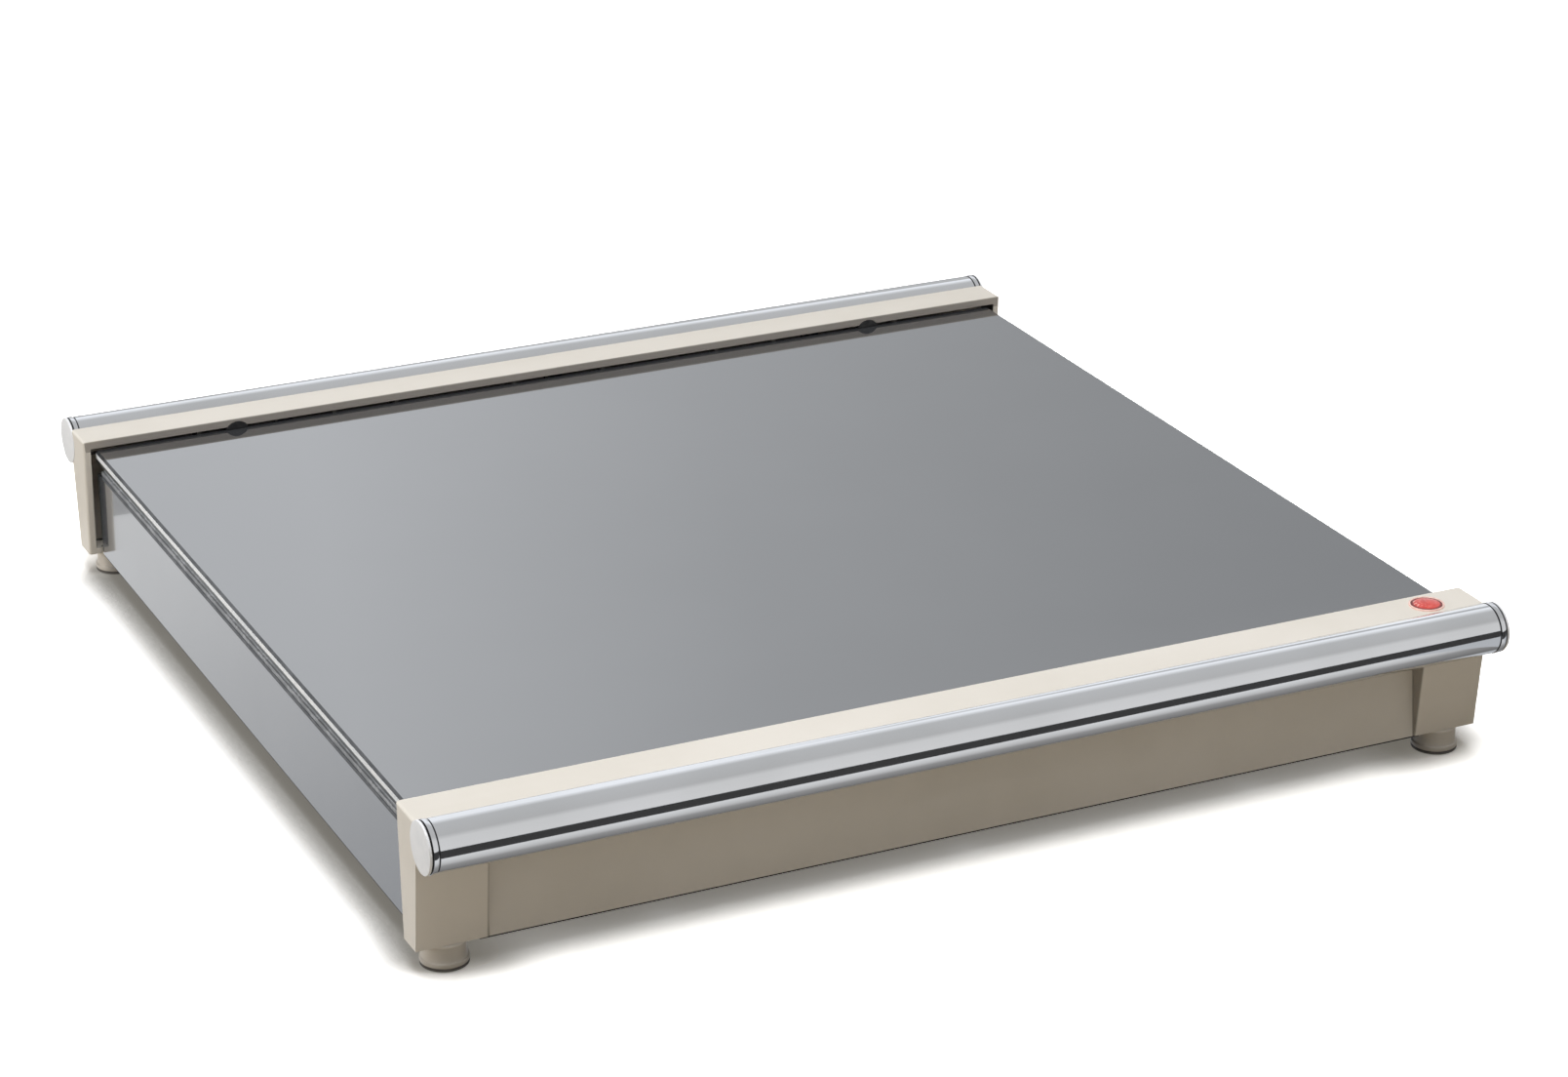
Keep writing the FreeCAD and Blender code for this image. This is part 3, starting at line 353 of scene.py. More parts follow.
lensLook = {
    "deep": (0.17, 0.008, 0.007), "bright": (0.66, 0.075, 0.06), "middle": (0.54, 0.05, 0.042),
    # painted highlight: the tone of the glints
    "paintedGlint": (0.98, 0.55, 0.46), "glow": 0.10, "coat": 0.1, "facet": 0.0011,
    # painted shade: the deep tone round the rim, where the lens meets its ring
    "rim": (0.8, 0.93),  # the deep tone sets in between these shares of the radius
}


def makeLensFinish():
    material, board = newFinish("redLens")
    x, y = board.parts(board.place((1, 1, 1), (-switchSizes["x"], switchSizes["out"], 0.0)))[:2]
    radius = (x * x + y * y) ** 0.5 / switchSizes["radius"]
    speckle = board.noise(lensLook["facet"], 3.0, 0.6)
    swirl = board.noise(0.0035, 2.0, 0.5)
    tone = board.blend(swirl.spread(0.35, 0.65), lensLook["bright"], lensLook["middle"])
    # painted highlight: glints on the left side of the lens
    paintedGlints = speckle.spread(0.52, 0.66) * (x / switchSizes["radius"]).spread(-0.75, -0.2, 1.0, 0.15)
    tone = board.blend(paintedGlints, tone, lensLook["paintedGlint"])
    # painted shade round the rim of the lens
    tone = board.blend(radius.spread(*lensLook["rim"]), tone, lensLook["deep"])
    facets = board.cells(lensLook["facet"])
    board.coat({"Base Color": tone, "Roughness": speckle * 0.1 + 0.2, "IOR": 1.4,
                "Coat Weight": lensLook["coat"], "Coat Roughness": 0.06,
                "Normal": board.relief(facets, 0.00012),
                "Emission Color": tone, "Emission Strength": lensLook["glow"]})
    return material


bezelLook = {"dark": (0.90, 0.57, 0.49), "light": (0.96, 0.68, 0.60), "rough": 0.2}


def makeBezelFinish():
    material, board = newFinish("paleRing")
    cloud = board.noise(0.002, 3.0, 0.6)
    tone = board.mottle(cloud, bezelLook["dark"], bezelLook["light"])
    board.coat({"Base Color": tone, "Roughness": cloud * 0.15 + bezelLook["rough"], "IOR": 1.5,
                "Normal": board.relief(cloud, 0.00003)})
    return material


# Finishes that a look inside shows
def makePlasticFinish(name, dark, light, rough=0.45, grainSize=0.0006):
    material, board = newFinish(name)
    grain = board.noise(grainSize, 2.0, 0.6)
    cloud = board.noise(0.008, 3.0, 0.5)
    tone = board.mottle(cloud, dark, light)
    board.coat({"Base Color": tone, "Roughness": cloud * 0.12 + rough, "IOR": 1.5,
                "Normal": board.relief(grain, 0.00002)})
    return material


def makeMetalFinish(name, dark, light, rough, stretch=(1.0, 1.0, 1.0)):
    material, board = newFinish(name)
    grain = board.noise(0.0012, 3.0, 0.6, stretch)
    cloud = board.noise(0.02, 4.0, 0.5)
    tone = board.mottle(cloud, dark, light)
    board.coat({"Base Color": tone, "Metallic": 1.0, "Roughness": grain * 0.14 + rough,
                "Normal": board.relief(grain, 0.000006)})
    return material


def makePanFinish():
    material, board = newFinish("galvanisedSheet")
    spangle = board.cells(0.011, "Color")
    level = board.parts(spangle)[0]
    tone = board.blend(level, (0.56, 0.57, 0.58), (0.70, 0.71, 0.72))
    board.coat({"Base Color": tone, "Metallic": 1.0, "Roughness": level * 0.18 + 0.3,
                "Normal": board.relief(level, 0.00001)})
    return material


def makeMicaFinish():
    material, board = newFinish("micaSheet")
    flakes = board.parts(board.cells(0.004, "Color"))[0]
    cloud = board.noise(0.03, 4.0, 0.55)
    tone = board.blend(flakes, (0.56, 0.44, 0.27), (0.74, 0.63, 0.44))
    tone = board.blend(cloud.spread(0.4, 0.8, 0.0, 0.5), tone, (0.80, 0.72, 0.55))
    board.coat({"Base Color": tone, "Roughness": flakes * 0.2 + 0.3, "Metallic": flakes * 0.15,
                "Normal": board.relief(flakes, 0.00003)})
    return material


def makeMatFinish():
    material, board = newFinish("fibreMat")
    fibre = board.noise(0.0016, 5.0, 0.7, (0.25, 1.0, 1.0))
    cross = board.noise(0.0016, 5.0, 0.7, (1.0, 0.25, 1.0))
    tufts = fibre * 0.5 + cross * 0.5
    tone = board.blend(tufts.spread(0.35, 0.7), (0.70, 0.68, 0.62), (0.90, 0.89, 0.85))
    board.coat({"Base Color": tone, "Roughness": tufts * 0.1 + 0.85,
                "Normal": board.relief(tufts, 0.0006)})
    return material


stripes = {"across": 0.7, "up": 1.3, "close": 900.0, "share": 0.1}


def makeEarthWireFinish():
    material, board = newFinish("greenYellowInsulation")
    x, y, z = board.parts()
    slant = x + y * stripes["across"] + z * stripes["up"]
    band = (slant * stripes["close"]).sine() > stripes["share"]
    cloud = board.noise(0.004, 2.0, 0.5)
    tone = board.blend(band, (0.13, 0.42, 0.10), (0.80, 0.66, 0.06))
    board.coat({"Base Color": tone, "Roughness": cloud * 0.15 + 0.35, "IOR": 1.5,
                "Normal": board.relief(cloud, 0.00004)})
    return material


lampLook = {"low": (0.55, 0.30, 0.18), "high": (0.95, 0.45, 0.20), "from": 0.046, "to": 0.057, "glow": 0.3}


def makeLampFinish():
    material, board = newFinish("lampGlass")
    z = board.parts()[2]
    swirl = board.noise(0.0015, 3.0, 0.5)
    tone = board.blend(z.spread(lampLook["from"], lampLook["to"]), lampLook["low"], lampLook["high"])
    board.coat({"Base Color": tone, "Roughness": swirl * 0.08 + 0.06, "IOR": 1.5,
                "Emission Color": tone, "Emission Strength": lampLook["glow"],
                "Normal": board.relief(swirl, 0.00002)})
    return material


# Sizes that the pieces and the finishes share, in metres, from the frame
frontTubeLow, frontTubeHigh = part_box("front_tube")
capLow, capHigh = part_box("button_cap")
glassLow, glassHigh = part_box("glass_plate")
tubeSizes = {
    "out": -(frontTubeLow.y + frontTubeHigh.y) / 2,
    "height": (frontTubeLow.z + frontTubeHigh.z) / 2,
    "radius": (frontTubeHigh.z - frontTubeLow.z) / 2,
    "halfLength": frontTubeHigh.x,
    "wall": 1.2 * mm, "edge": 0.25 * mm, "sides": 160,
}
frontTubeCentre = (0.0, -tubeSizes["out"], tubeSizes["height"])
switchSizes = {
    "x": (capLow.x + capHigh.x) / 2,
    "out": -(capLow.y + capHigh.y) / 2,
    "radius": (capHigh.x - capLow.x) / 2,
}
switchCentre = (switchSizes["x"], -switchSizes["out"], 0.0)

black, nearBlack = (0.012, 0.012, 0.013), (0.018, 0.018, 0.019)
finishes = {
    "glass": makeGlassFinish(),
    "glassEdge": makeGlassEdgeFinish(),
    "glassArris": makePlasticFinish("polishedArris", (0.03, 0.032, 0.035), (0.07, 0.073, 0.078), 0.12,
                                    0.0012),
    "beam": makeBeamFinish(),
    "tube": makeTubeFinish(),
    # painted shade for the floors of the collars' grooves
    "groove": makePlasticFinish("grooveShade", black, (0.03, 0.03, 0.031), 0.5),
    "cap": makeCapFinish(),
    "body": makeBodyFinish(),
    "cover": makeCoverFinish(),
    "seal": makeSealFinish(),
    "stop": makeRubberFinish("blackStop", black, (0.05, 0.05, 0.05)),
    # painted shade: the dark finish for the hollow faces inside the beams
    "inside": makePlasticFinish("paintedHollowShade", (0.085, 0.08, 0.072), (0.13, 0.122, 0.11), 0.55),
    "pad": makeRubberFinish("padRubber", (0.10, 0.092, 0.08), (0.19, 0.178, 0.158)),
    "lens": makeLensFinish(),
    "bezel": makeBezelFinish(),
    "plunger": makePlasticFinish("naturalPlastic", (0.72, 0.71, 0.68), (0.82, 0.81, 0.78)),
    "housing": makePlasticFinish("blackThermoset", nearBlack, (0.045, 0.045, 0.046)),
    "terminal": makeMetalFinish("tinnedBrass", (0.70, 0.64, 0.48), (0.80, 0.76, 0.64), 0.20),
    "spring": makeMetalFinish("springWire", (0.50, 0.50, 0.51), (0.66, 0.66, 0.67), 0.23),
    "screw": makeMetalFinish("zincScrew", (0.52, 0.53, 0.55), (0.70, 0.71, 0.73), 0.25),
    "spreader": makeMetalFinish("millAluminium", (0.72, 0.72, 0.73), (0.82, 0.82, 0.83), 0.30,
                                (0.05, 1.0, 1.0)),
    "element": makeMetalFinish("resistanceStrip", (0.30, 0.27, 0.25), (0.46, 0.42, 0.38), 0.40,
                               (0.1, 1.0, 1.0)),
    "pan": makePanFinish(),
    "mica": makeMicaFinish(),
    "mat": makeMatFinish(),
    "brownWire": makePlasticFinish("brownInsulation", (0.16, 0.065, 0.025), (0.24, 0.11, 0.05), 0.35),
    "blueWire": makePlasticFinish("blueInsulation", (0.03, 0.11, 0.42), (0.06, 0.18, 0.55), 0.35),
    "earthWire": makeEarthWireFinish(),
    "lamp": makeLampFinish(),
}
finishNodes = {
    "glass": ["glass_plate"], "seal": ["glass_seal"], "body": ["tray_body"], "cover": ["bottom_cover"],
    "beam": ["front_beam", "rear_beam"], "tube": ["front_tube", "rear_tube"], "bezel": ["button_bezel"],
    "lens": ["button_cap"], "plunger": ["button_plunger"], "spring": ["button_spring", "thermal_fuse"],
    "stop": ["glass_retainers", "wire_grommet"], "spreader": ["heat_spreader", "thermostat_cap"],
    "housing": ["switch_body", "thermostat_base", "inlet_housing"], "lamp": ["pilot_lamp"],
    "terminal": ["switch_contacts", "thermostat_blades", "inlet_pins", "earth_stud"],
    "element": ["heating_element"], "mica": ["mica_sheet"], "mat": ["insulation_mat"],
    "pan": ["pressure_pan", "support_rails"], "earthWire": ["earth_wire"], "blueWire": ["neutral_wire"],
    "brownWire": ["live_wire", "switched_wire", "element_wire"],
    "screw": ["beam_screws", "tube_screws", "cover_screws", "foot_screws"],
}
# nodes that come once at each corner, by the start of their names
familyFinishes = (("tube_collar_", "tube"), ("tube_cap_", "cap"), ("foot_pad_", "pad"), ("foot_", "beam"))


def finishOf(node):
    for finish, nodes in finishNodes.items():
        if node in nodes:
            return finish
    return next(finish for start, finish in familyFinishes if node.startswith(start))


def dress(thing, *names):
    thing.data.materials.clear()
    for name in names:
        thing.data.materials.append(finishes[name])


for nodeName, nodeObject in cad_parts.items():
    dress(nodeObject, finishOf(nodeName))
print("finishes made:", len(finishes))


# Modelling helpers
rounding = {
    "segments": 2, "angle": 30.0, "smooth": 32.0, "flat": 0.4, "holes": 200,
    "share": 0.3,  # how far the middle of a turned round edge lies in, as a share of its width
}
merging = 1e-6


def setMode(mode):
    bpy.ops.object.mode_set(mode=mode)


def selectNone():
    if bpy.context.object and bpy.context.object.mode != "OBJECT":
        setMode("OBJECT")
    bpy.ops.object.select_all(action="DESELECT")


def selectOnly(thing):
    selectNone()
    thing.select_set(True)
    bpy.context.view_layer.objects.active = thing


def addToScene(thing):
    bpy.context.scene.collection.objects.link(thing)


def rename(thing, name):
    thing.name = name
    thing.data.name = name


def applyModifier(thing, kind, settings):
    selectOnly(thing)
    modifier = thing.modifiers.new(kind.title(), kind)
    for name, value in settings.items():
        setattr(modifier, name, value)
    bpy.ops.object.modifier_apply(modifier=modifier.name)


def settle(thing, name, edgeAngle=rounding["smooth"], weighted=False):
    selectOnly(thing)
    rename(thing, name)
    bpy.ops.object.transform_apply(location=True, rotation=True, scale=True)
    bpy.ops.object.shade_smooth_by_angle(angle=math.radians(edgeAngle))
    if weighted:  # wide faces stay flat up to their rounded edges
        applyModifier(thing, "WEIGHTED_NORMAL", {"mode": "FACE_AREA", "weight": 50, "keep_sharp": True})
    selectNone()


def addBox(place, size):
    selectNone()
    bpy.ops.mesh.primitive_cube_add(size=1.0, location=place)
    box = bpy.context.object
    box.scale = size
    bpy.ops.object.transform_apply(location=True, rotation=True, scale=True)
    return box


def bevelWhere(thing, picked, width, segments=1):
    # a plain bevel on the edges whose two ends have the heights that are asked for
    selectOnly(thing)
    setMode("EDIT")
    bpy.ops.mesh.select_mode(type="EDGE")
    bpy.ops.mesh.select_all(action="DESELECT")
    setMode("OBJECT")
    points = thing.data.vertices
    for edge in thing.data.edges:
        edge.select = picked(*(points[index].co.z for index in edge.vertices))
    setMode("EDIT")
    bpy.ops.mesh.bevel(offset=width, segments=segments, affect="EDGES")
    setMode("OBJECT")


def roundEdges(thing, width, angle=rounding["angle"]):
    applyModifier(thing, "BEVEL", {
        "width": width, "segments": rounding["segments"], "limit_method": "ANGLE",
        "angle_limit": math.radians(angle), "harden_normals": False})


def turn(name, centre, axis, steps, segments=96):
    # steps are (radius, distance along the axis from the centre)
    along = Vector(axis)
    lying = abs(along.x) > 0.5
    tilt = (0.0, math.pi / 2, 0.0) if lying else (0.0, 0.0, 0.0)
    firstRadius, firstPlace = steps[0]
    selectNone()
    bpy.ops.mesh.primitive_circle_add(vertices=segments, radius=firstRadius, fill_type="NOTHING",
                                      location=Vector(centre) + along * firstPlace, rotation=tilt)
    made = bpy.context.object
    setMode("EDIT")
    bpy.ops.mesh.select_all(action="SELECT")
    radius, place = firstRadius, firstPlace
    for nextRadius, nextPlace in steps[1:]:
        move = along * (nextPlace - place)
        bpy.ops.mesh.extrude_region_move(TRANSFORM_OT_translate={"value": move})
        if abs(nextRadius - radius) > 1e-9:
            ratio = nextRadius / radius
            grow = (1.0, ratio, ratio) if lying else (ratio, ratio, 1.0)
            bpy.ops.transform.resize(value=grow, center_override=Vector(centre) + along * nextPlace)
        radius, place = nextRadius, nextPlace
    bpy.ops.mesh.select_all(action="SELECT")
    bpy.ops.mesh.remove_doubles(threshold=merging)
    bpy.ops.mesh.normals_make_consistent(inside=False)
    setMode("OBJECT")
    settle(made, name)
    return made


def quarter(count):
    # the angles of a quarter turn's steps, without its start
    return [index * math.pi / 2 / count for index in range(1, count + 1)]


def closeEnds(thing):
    selectOnly(thing)
    setMode("EDIT")
    bpy.ops.mesh.select_all(action="SELECT")
    bpy.ops.mesh.fill_holes(sides=rounding["holes"])
    bpy.ops.mesh.normals_make_consistent(inside=False)
    setMode("OBJECT")


def copyOf(thing, name, mirrorX=False, mirrorY=False, move=(0.0, 0.0, 0.0)):
    made = thing.copy()
    made.data = thing.data.copy()
    addToScene(made)
    rename(made, name)
    turned = Matrix.Diagonal((-1.0 if mirrorX else 1.0, -1.0 if mirrorY else 1.0, 1.0, 1.0))
    made.data.transform(Matrix.Translation(move) @ turned)
    if mirrorX != mirrorY:
        made.data.flip_normals()
    return made


def joinAll(things, name):
    selectNone()
    for thing in things:
        thing.select_set(True)
    bpy.context.view_layer.objects.active = things[0]
    if len(things) > 1:
        bpy.ops.object.join()
    rename(things[0], name)
    selectNone()
    return things[0]


def refine(node, name, edge, finishNames, body="tray"):
    # the solid's own form, merged, with its sharp edges rounded
    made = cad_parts[node].copy()
    made.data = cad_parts[node].data.copy()
    for key in list(made.keys()):
        del made[key]
    made.parent = None
    addToScene(made)
    selectOnly(made)
    setMode("EDIT")
    bpy.ops.mesh.select_all(action="SELECT")
    bpy.ops.mesh.remove_doubles(threshold=merging)
    bpy.ops.mesh.dissolve_limited(angle_limit=math.radians(rounding["flat"]))
    setMode("OBJECT")
    if edge > 0:
        roundEdges(made, edge)
    settle(made, name, weighted=True)
    dress(made, *finishNames)
    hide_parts(node)
    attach(made, body)
    return made


# how far a face of a hollow moulding looks for another one, and from how far off its own skin
hollow = {"reach": 45 * mm, "skin": 0.05 * mm}


def shadeInside(thing):
    # faces that look at another face of the same moulding take a dark finish: painted shade in the hollows
    tree = BVHTree.FromPolygons([vertex.co for vertex in thing.data.vertices],
                                [list(face.vertices) for face in thing.data.polygons])
    for face in thing.data.polygons:
        start = face.center + face.normal * hollow["skin"]
        hit = tree.ray_cast(start, face.normal, hollow["reach"])
        if hit[0] is not None:
            face.material_index = 1


# The glass top, with ground arrises and rounded corners
glassSizes = {
    "corner": 2.0 * mm, "cornerSegments": 6, "arris": 1.0 * mm, "lowArris": 0.35 * mm, "edge": 0.12 * mm,
    "angle": 25.0,
    # how upright a face's normal is on the flat faces and on the edge; the arrises lie between
    "flat": 0.93, "upright": 0.35,
}


def makeGlassTop():
    size = glassHigh - glassLow
    plate = addBox((glassLow + glassHigh) / 2, size)
    bevelWhere(plate, lambda one, other: abs(one - other) > size.z / 2,
               glassSizes["corner"], glassSizes["cornerSegments"])
    for level, width in ((glassHigh.z, glassSizes["arris"]), (glassLow.z, glassSizes["lowArris"])):
        bevelWhere(plate, lambda one, other: max(abs(one - level), abs(other - level)) < merging, width)
    roundEdges(plate, glassSizes["edge"], glassSizes["angle"])
    settle(plate, "glassTop", glassSizes["angle"], weighted=True)
    dress(plate, "glass", "glassEdge", "glassArris")
    for face in plate.data.polygons:
        rise = abs(face.normal.z)
        face.material_index = 0 if rise > glassSizes["flat"] else (1 if rise < glassSizes["upright"] else 2)
    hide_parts("glass_plate")
    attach(plate, "tray")


# The chrome tubes, their grooved collars and satin discs
def makeTube(name, side, node):
    radius = tubeSizes["radius"]
    bore = radius - tubeSizes["wall"]
    half = tubeSizes["halfLength"]
    edge = tubeSizes["edge"]
    part = edge * rounding["share"]
    centre = (0.0, side * tubeSizes["out"], tubeSizes["height"])
    steps = [(bore, -half), (radius - edge, -half), (radius - part, -half + part),
             (radius, -half + edge), (radius, half - edge), (radius - part, half - part),
             (radius - edge, half), (bore, half), (bore, -half)]
    tube = turn(name, centre, (1, 0, 0), steps, tubeSizes["sides"])
    dress(tube, "tube")
    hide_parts(node)
    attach(tube, "tray")


collarSizes = {
    "width": 3.2 * mm, "proud": 0.2 * mm, "inner": 0.5 * mm, "outer": 0.75 * mm, "depth": 0.55 * mm,
    "edge": 0.22 * mm, "sides": 128,
}


def makeCollar():
    start = tubeSizes["halfLength"]
    end = start + collarSizes["width"]
    radius = tubeSizes["radius"] + collarSizes["proud"]
    bore = tubeSizes["radius"] - tubeSizes["wall"]
    ringStart = start + collarSizes["inner"]
    ringEnd = end - collarSizes["outer"]
    floor = radius - collarSizes["depth"]
    edge = collarSizes["edge"]
    part = edge * rounding["share"]
    steps = [(bore, start), (floor, start), (floor, ringStart), (radius - edge, ringStart),
             (radius - part, ringStart + part), (radius, ringStart + edge), (radius, ringEnd - edge),
             (radius - part, ringEnd - part), (radius - edge, ringEnd), (floor, ringEnd), (floor, end),
             (bore, end), (bore, start)]
    collar = turn("collarFrontRight", frontTubeCentre, (1, 0, 0), steps, collarSizes["sides"])
    dress(collar, "tube", "groove")
    # painted shade: faces deep in the grooves take the near-black finish
    for face in collar.data.polygons:
        away = face.center - Vector(frontTubeCentre)
        away.x = 0.0
        face.material_index = 1 if away.length < radius - edge - part else 0
    return collar


discSizes = {
    "thick": 1.2 * mm, "dome": 0.3 * mm, "domeSteps": 8, "edge": 0.25 * mm, "plug": 12.0 * mm,
    "rimGap": 0.1 * mm, "plugGap": 0.1 * mm, "plugTip": 0.3 * mm, "tip": 0.02 * mm,
}


def makeDisc():
    start = tubeSizes["halfLength"] + collarSizes["width"]
    rim = tubeSizes["radius"] + collarSizes["proud"] - discSizes["rimGap"]
    edge = discSizes["edge"]
    face = start + discSizes["thick"] - discSizes["dome"]
    plug = tubeSizes["radius"] - tubeSizes["wall"] - discSizes["plugGap"]
    back = start - discSizes["plug"]
    steps = [(discSizes["plugTip"], back), (plug, back), (plug, start), (rim, start), (rim, face - edge)]
    for angle in quarter(3):
        steps.append((rim - edge * (1 - math.cos(angle)), face - edge * (1 - math.sin(angle))))
    inner = rim - edge
    for index in range(1, discSizes["domeSteps"] + 1):
        radius = inner * (1 - index / discSizes["domeSteps"])
        rise = discSizes["dome"] * (1 - (radius / inner) ** 2)
        steps.append((max(radius, discSizes["tip"]), face + rise))
    disc = turn("discFrontRight", frontTubeCentre, (1, 0, 0), steps, collarSizes["sides"])
    closeEnds(disc)
    dress(disc, "cap")
    return disc


def placeAtCorners(thing, nodeStart, nameStart):
    for corner, mirrorX, mirrorY in (("front_right", False, False), ("front_left", True, False),
                                     ("rear_right", False, True), ("rear_left", True, True)):
        made = copyOf(thing, nameStart + corner.title().replace("_", ""), mirrorX, mirrorY)
        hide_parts(nodeStart + corner)
        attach(made, "tray")
    bpy.data.objects.remove(thing)


# The feet and their pads
footLow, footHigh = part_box("foot_front_right")
padLow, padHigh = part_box("foot_pad_front_right")
footSizes = {
    "x": (footLow.x + footHigh.x) / 2, "y": (footLow.y + footHigh.y) / 2,
    "base": (footHigh.x - footLow.x) / 2, "neck": 8.3 * mm, "neckEdge": 0.3 * mm, "hole": 1.5 * mm,
    "bore": 3.8 * mm, "seat": 5.0 * mm, "flare": 5.2 * mm, "rim": 1.5 * mm, "lip": 0.35 * mm,
    "shoulder": 0.4 * mm,
}
footCentre = (footSizes["x"], footSizes["y"], 0.0)


def makeFoot():
    low, high = footLow.z, footHigh.z
    base, neck = footSizes["base"], footSizes["neck"]
    bore, seat, hole = footSizes["bore"], footSizes["seat"], footSizes["hole"]
    lip = footSizes["lip"]
    part = lip * rounding["share"]
    rim = low + footSizes["rim"]
    steps = [(bore, seat), (bore, low), (base - lip, low), (base - part, low + part), (base, low + lip),
             (base, rim)]
    shoulder = footSizes["shoulder"]
    for angle in quarter(3):
        steps.append((base - shoulder * (1 - math.cos(angle)), rim + shoulder * math.sin(angle)))
    waist = base - shoulder - neck
    start = rim + shoulder
    rise = low + footSizes["flare"] - start
    for angle in quarter(8):
        steps.append((neck + waist * (1 - math.sin(angle)), start + rise * (1 - math.cos(angle))))
    steps += [(neck, high - footSizes["neckEdge"]), (neck - footSizes["neckEdge"], high), (hole, high),
              (hole, seat), (bore, seat)]
    foot = turn("footFrontRight", footCentre, (0, 0, 1), steps)
    dress(foot, "beam")
    return foot


padSizes = {
    "edge": 0.25 * mm,
    # ring grooves in the underside: where they lie between bore and rim, half width, floor and depth
    "grooves": (0.25, 0.5, 0.75), "half": 0.25 * mm, "floor": 0.15 * mm, "depth": 0.35 * mm,
}


def makePad():
    outer, bore = footSizes["base"], footSizes["bore"]
    low, high = padLow.z, padHigh.z
    edge = padSizes["edge"]
    part = edge * rounding["share"]
    steps = [(bore, low)]
    for share in padSizes["grooves"]:
        radius = bore + (outer - bore) * share
        half, floor, up = padSizes["half"], padSizes["floor"], low + padSizes["depth"]
        steps += [(radius - half, low), (radius - floor, up), (radius + floor, up), (radius + half, low)]
    steps += [(outer - edge * 2, low), (outer - edge, low + part), (outer - part, low + edge),
              (outer - part, high - edge), (outer - edge, high), (bore, high), (bore, low)]
    pad = turn("padFrontRight", footCentre, (0, 0, 1), steps)
    dress(pad, "pad")
    return pad


# The screws that show, with cross recesses
screwSizes = {
    "head": 3.2 * mm, "shank": 1.4 * mm, "sides": 32, "apart": 8 * mm,
    "slotWidth": 0.9 * mm, "slotLength": 3.6 * mm, "slotDepth": 0.9 * mm,
    # the head's profile, as shares of its radius and height
    "profile": ((0.55, 1.0), (0.82, 0.86), (0.96, 0.55), (1.0, 0.2), (1.0, 0.0)),
    "pitch": 1.1 * mm, "core": 0.82, "threadFrom": 0.8 * mm, "threadSpare": 1.5 * mm,
    "point": 0.05 * mm, "tip": 0.4 * mm, "tipShare": 0.5,
    "coverHead": 1.6 * mm, "coverLength": 8.5 * mm, "footHead": 2.0 * mm, "footLength": 13.0 * mm,
}


def makeScrew(name, headHeight, length):
    # the head hangs below z = 0 and the shank stands above it
    head, shank = screwSizes["head"], screwSizes["shank"]
    steps = [(screwSizes["point"], -headHeight)]
    steps += [(head * wide, -headHeight * tall) for wide, tall in screwSizes["profile"]]
    steps.append((shank, 0.0))
    core, pitch = shank * screwSizes["core"], screwSizes["pitch"]
    for index in range(int((length - screwSizes["threadSpare"]) / pitch)):
        base = screwSizes["threadFrom"] + index * pitch
        steps += [(core, base), (shank, base + pitch * 0.5), (core, base + pitch)]
    steps += [(shank * screwSizes["tipShare"], length - screwSizes["tip"]), (screwSizes["point"], length)]
    screw = turn(name, (0, 0, 0), (0, 0, 1), steps, screwSizes["sides"])
    closeEnds(screw)
    for wide, deep in ((screwSizes["slotLength"], screwSizes["slotWidth"]),
                       (screwSizes["slotWidth"], screwSizes["slotLength"])):
        cutter = addBox((0, 0, -headHeight), (wide, deep, 2 * screwSizes["slotDepth"]))
        applyModifier(screw, "BOOLEAN", {"object": cutter, "operation": "DIFFERENCE", "solver": "EXACT"})
        bpy.data.objects.remove(cutter)
    settle(screw, name)
    dress(screw, "screw")
    return screw


def placeScrews(screw, name, places, node):
    made = [copyOf(screw, name + str(index), move=place) for index, place in enumerate(places)]
    whole = joinAll(made, name)
    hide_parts(node)
    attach(whole, "tray")
    bpy.data.objects.remove(screw)


def solidCentres(node, z):
    # one place for each separate screw of a node, at height z
    groups = []
    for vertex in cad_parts[node].data.vertices:
        point = vertex.co.copy()
        near = [group for group in groups if (group[0].xy - point.xy).length < screwSizes["apart"]]
        if near:
            near[0].append(point)
        else:
            groups.append([point])
    centres = []
    for group in groups:
        low = Vector([min(point[axis] for point in group) for axis in range(3)])
        high = Vector([max(point[axis] for point in group) for axis in range(3)])
        centres.append(Vector(((low.x + high.x) / 2, (low.y + high.y) / 2, z)))
    return centres


# The switch's lens and ring
lensSizes = {
    "rim": 0.8 * mm, "edge": 0.2 * mm, "shoulder": 0.32 * mm, "domeIn": 0.44 * mm, "dip": 0.024 * mm,
    "domeSteps": 12, "tip": 0.03 * mm, "foot": 0.05 * mm,
}


def makeLens():
    radius = switchSizes["radius"]
    rimTop = capLow.z + lensSizes["rim"]
    edge = lensSizes["edge"]
    part = edge * rounding["share"]
    inner = radius - lensSizes["domeIn"]
    start = rimTop - lensSizes["dip"]
    steps = [(lensSizes["foot"], capLow.z), (radius - edge, capLow.z), (radius, capLow.z + edge),
             (radius, rimTop - edge), (radius - part, rimTop - part),
             (radius - lensSizes["shoulder"], rimTop), (inner, start)]
    for index in range(1, lensSizes["domeSteps"] + 1):
        reach = inner * (1 - index / lensSizes["domeSteps"])
        rise = (capHigh.z - rimTop) * (1 - (reach / inner) ** 2)
        steps.append((max(reach, lensSizes["tip"]), start + rise))
    lens = turn("switchLens", switchCentre, (0, 0, 1), steps)
    closeEnds(lens)
    dress(lens, "lens")
    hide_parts("button_cap")
    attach(lens, "button")


bezelSizes = {
    "gap": 0.15 * mm, "edge": 0.18 * mm,
    # the outer corner's round: how far in and how far down each of its points lies
    "round": ((0.0, 0.27 * mm), (0.108 * mm, 0.072 * mm), (0.288 * mm, 0.0)),
}


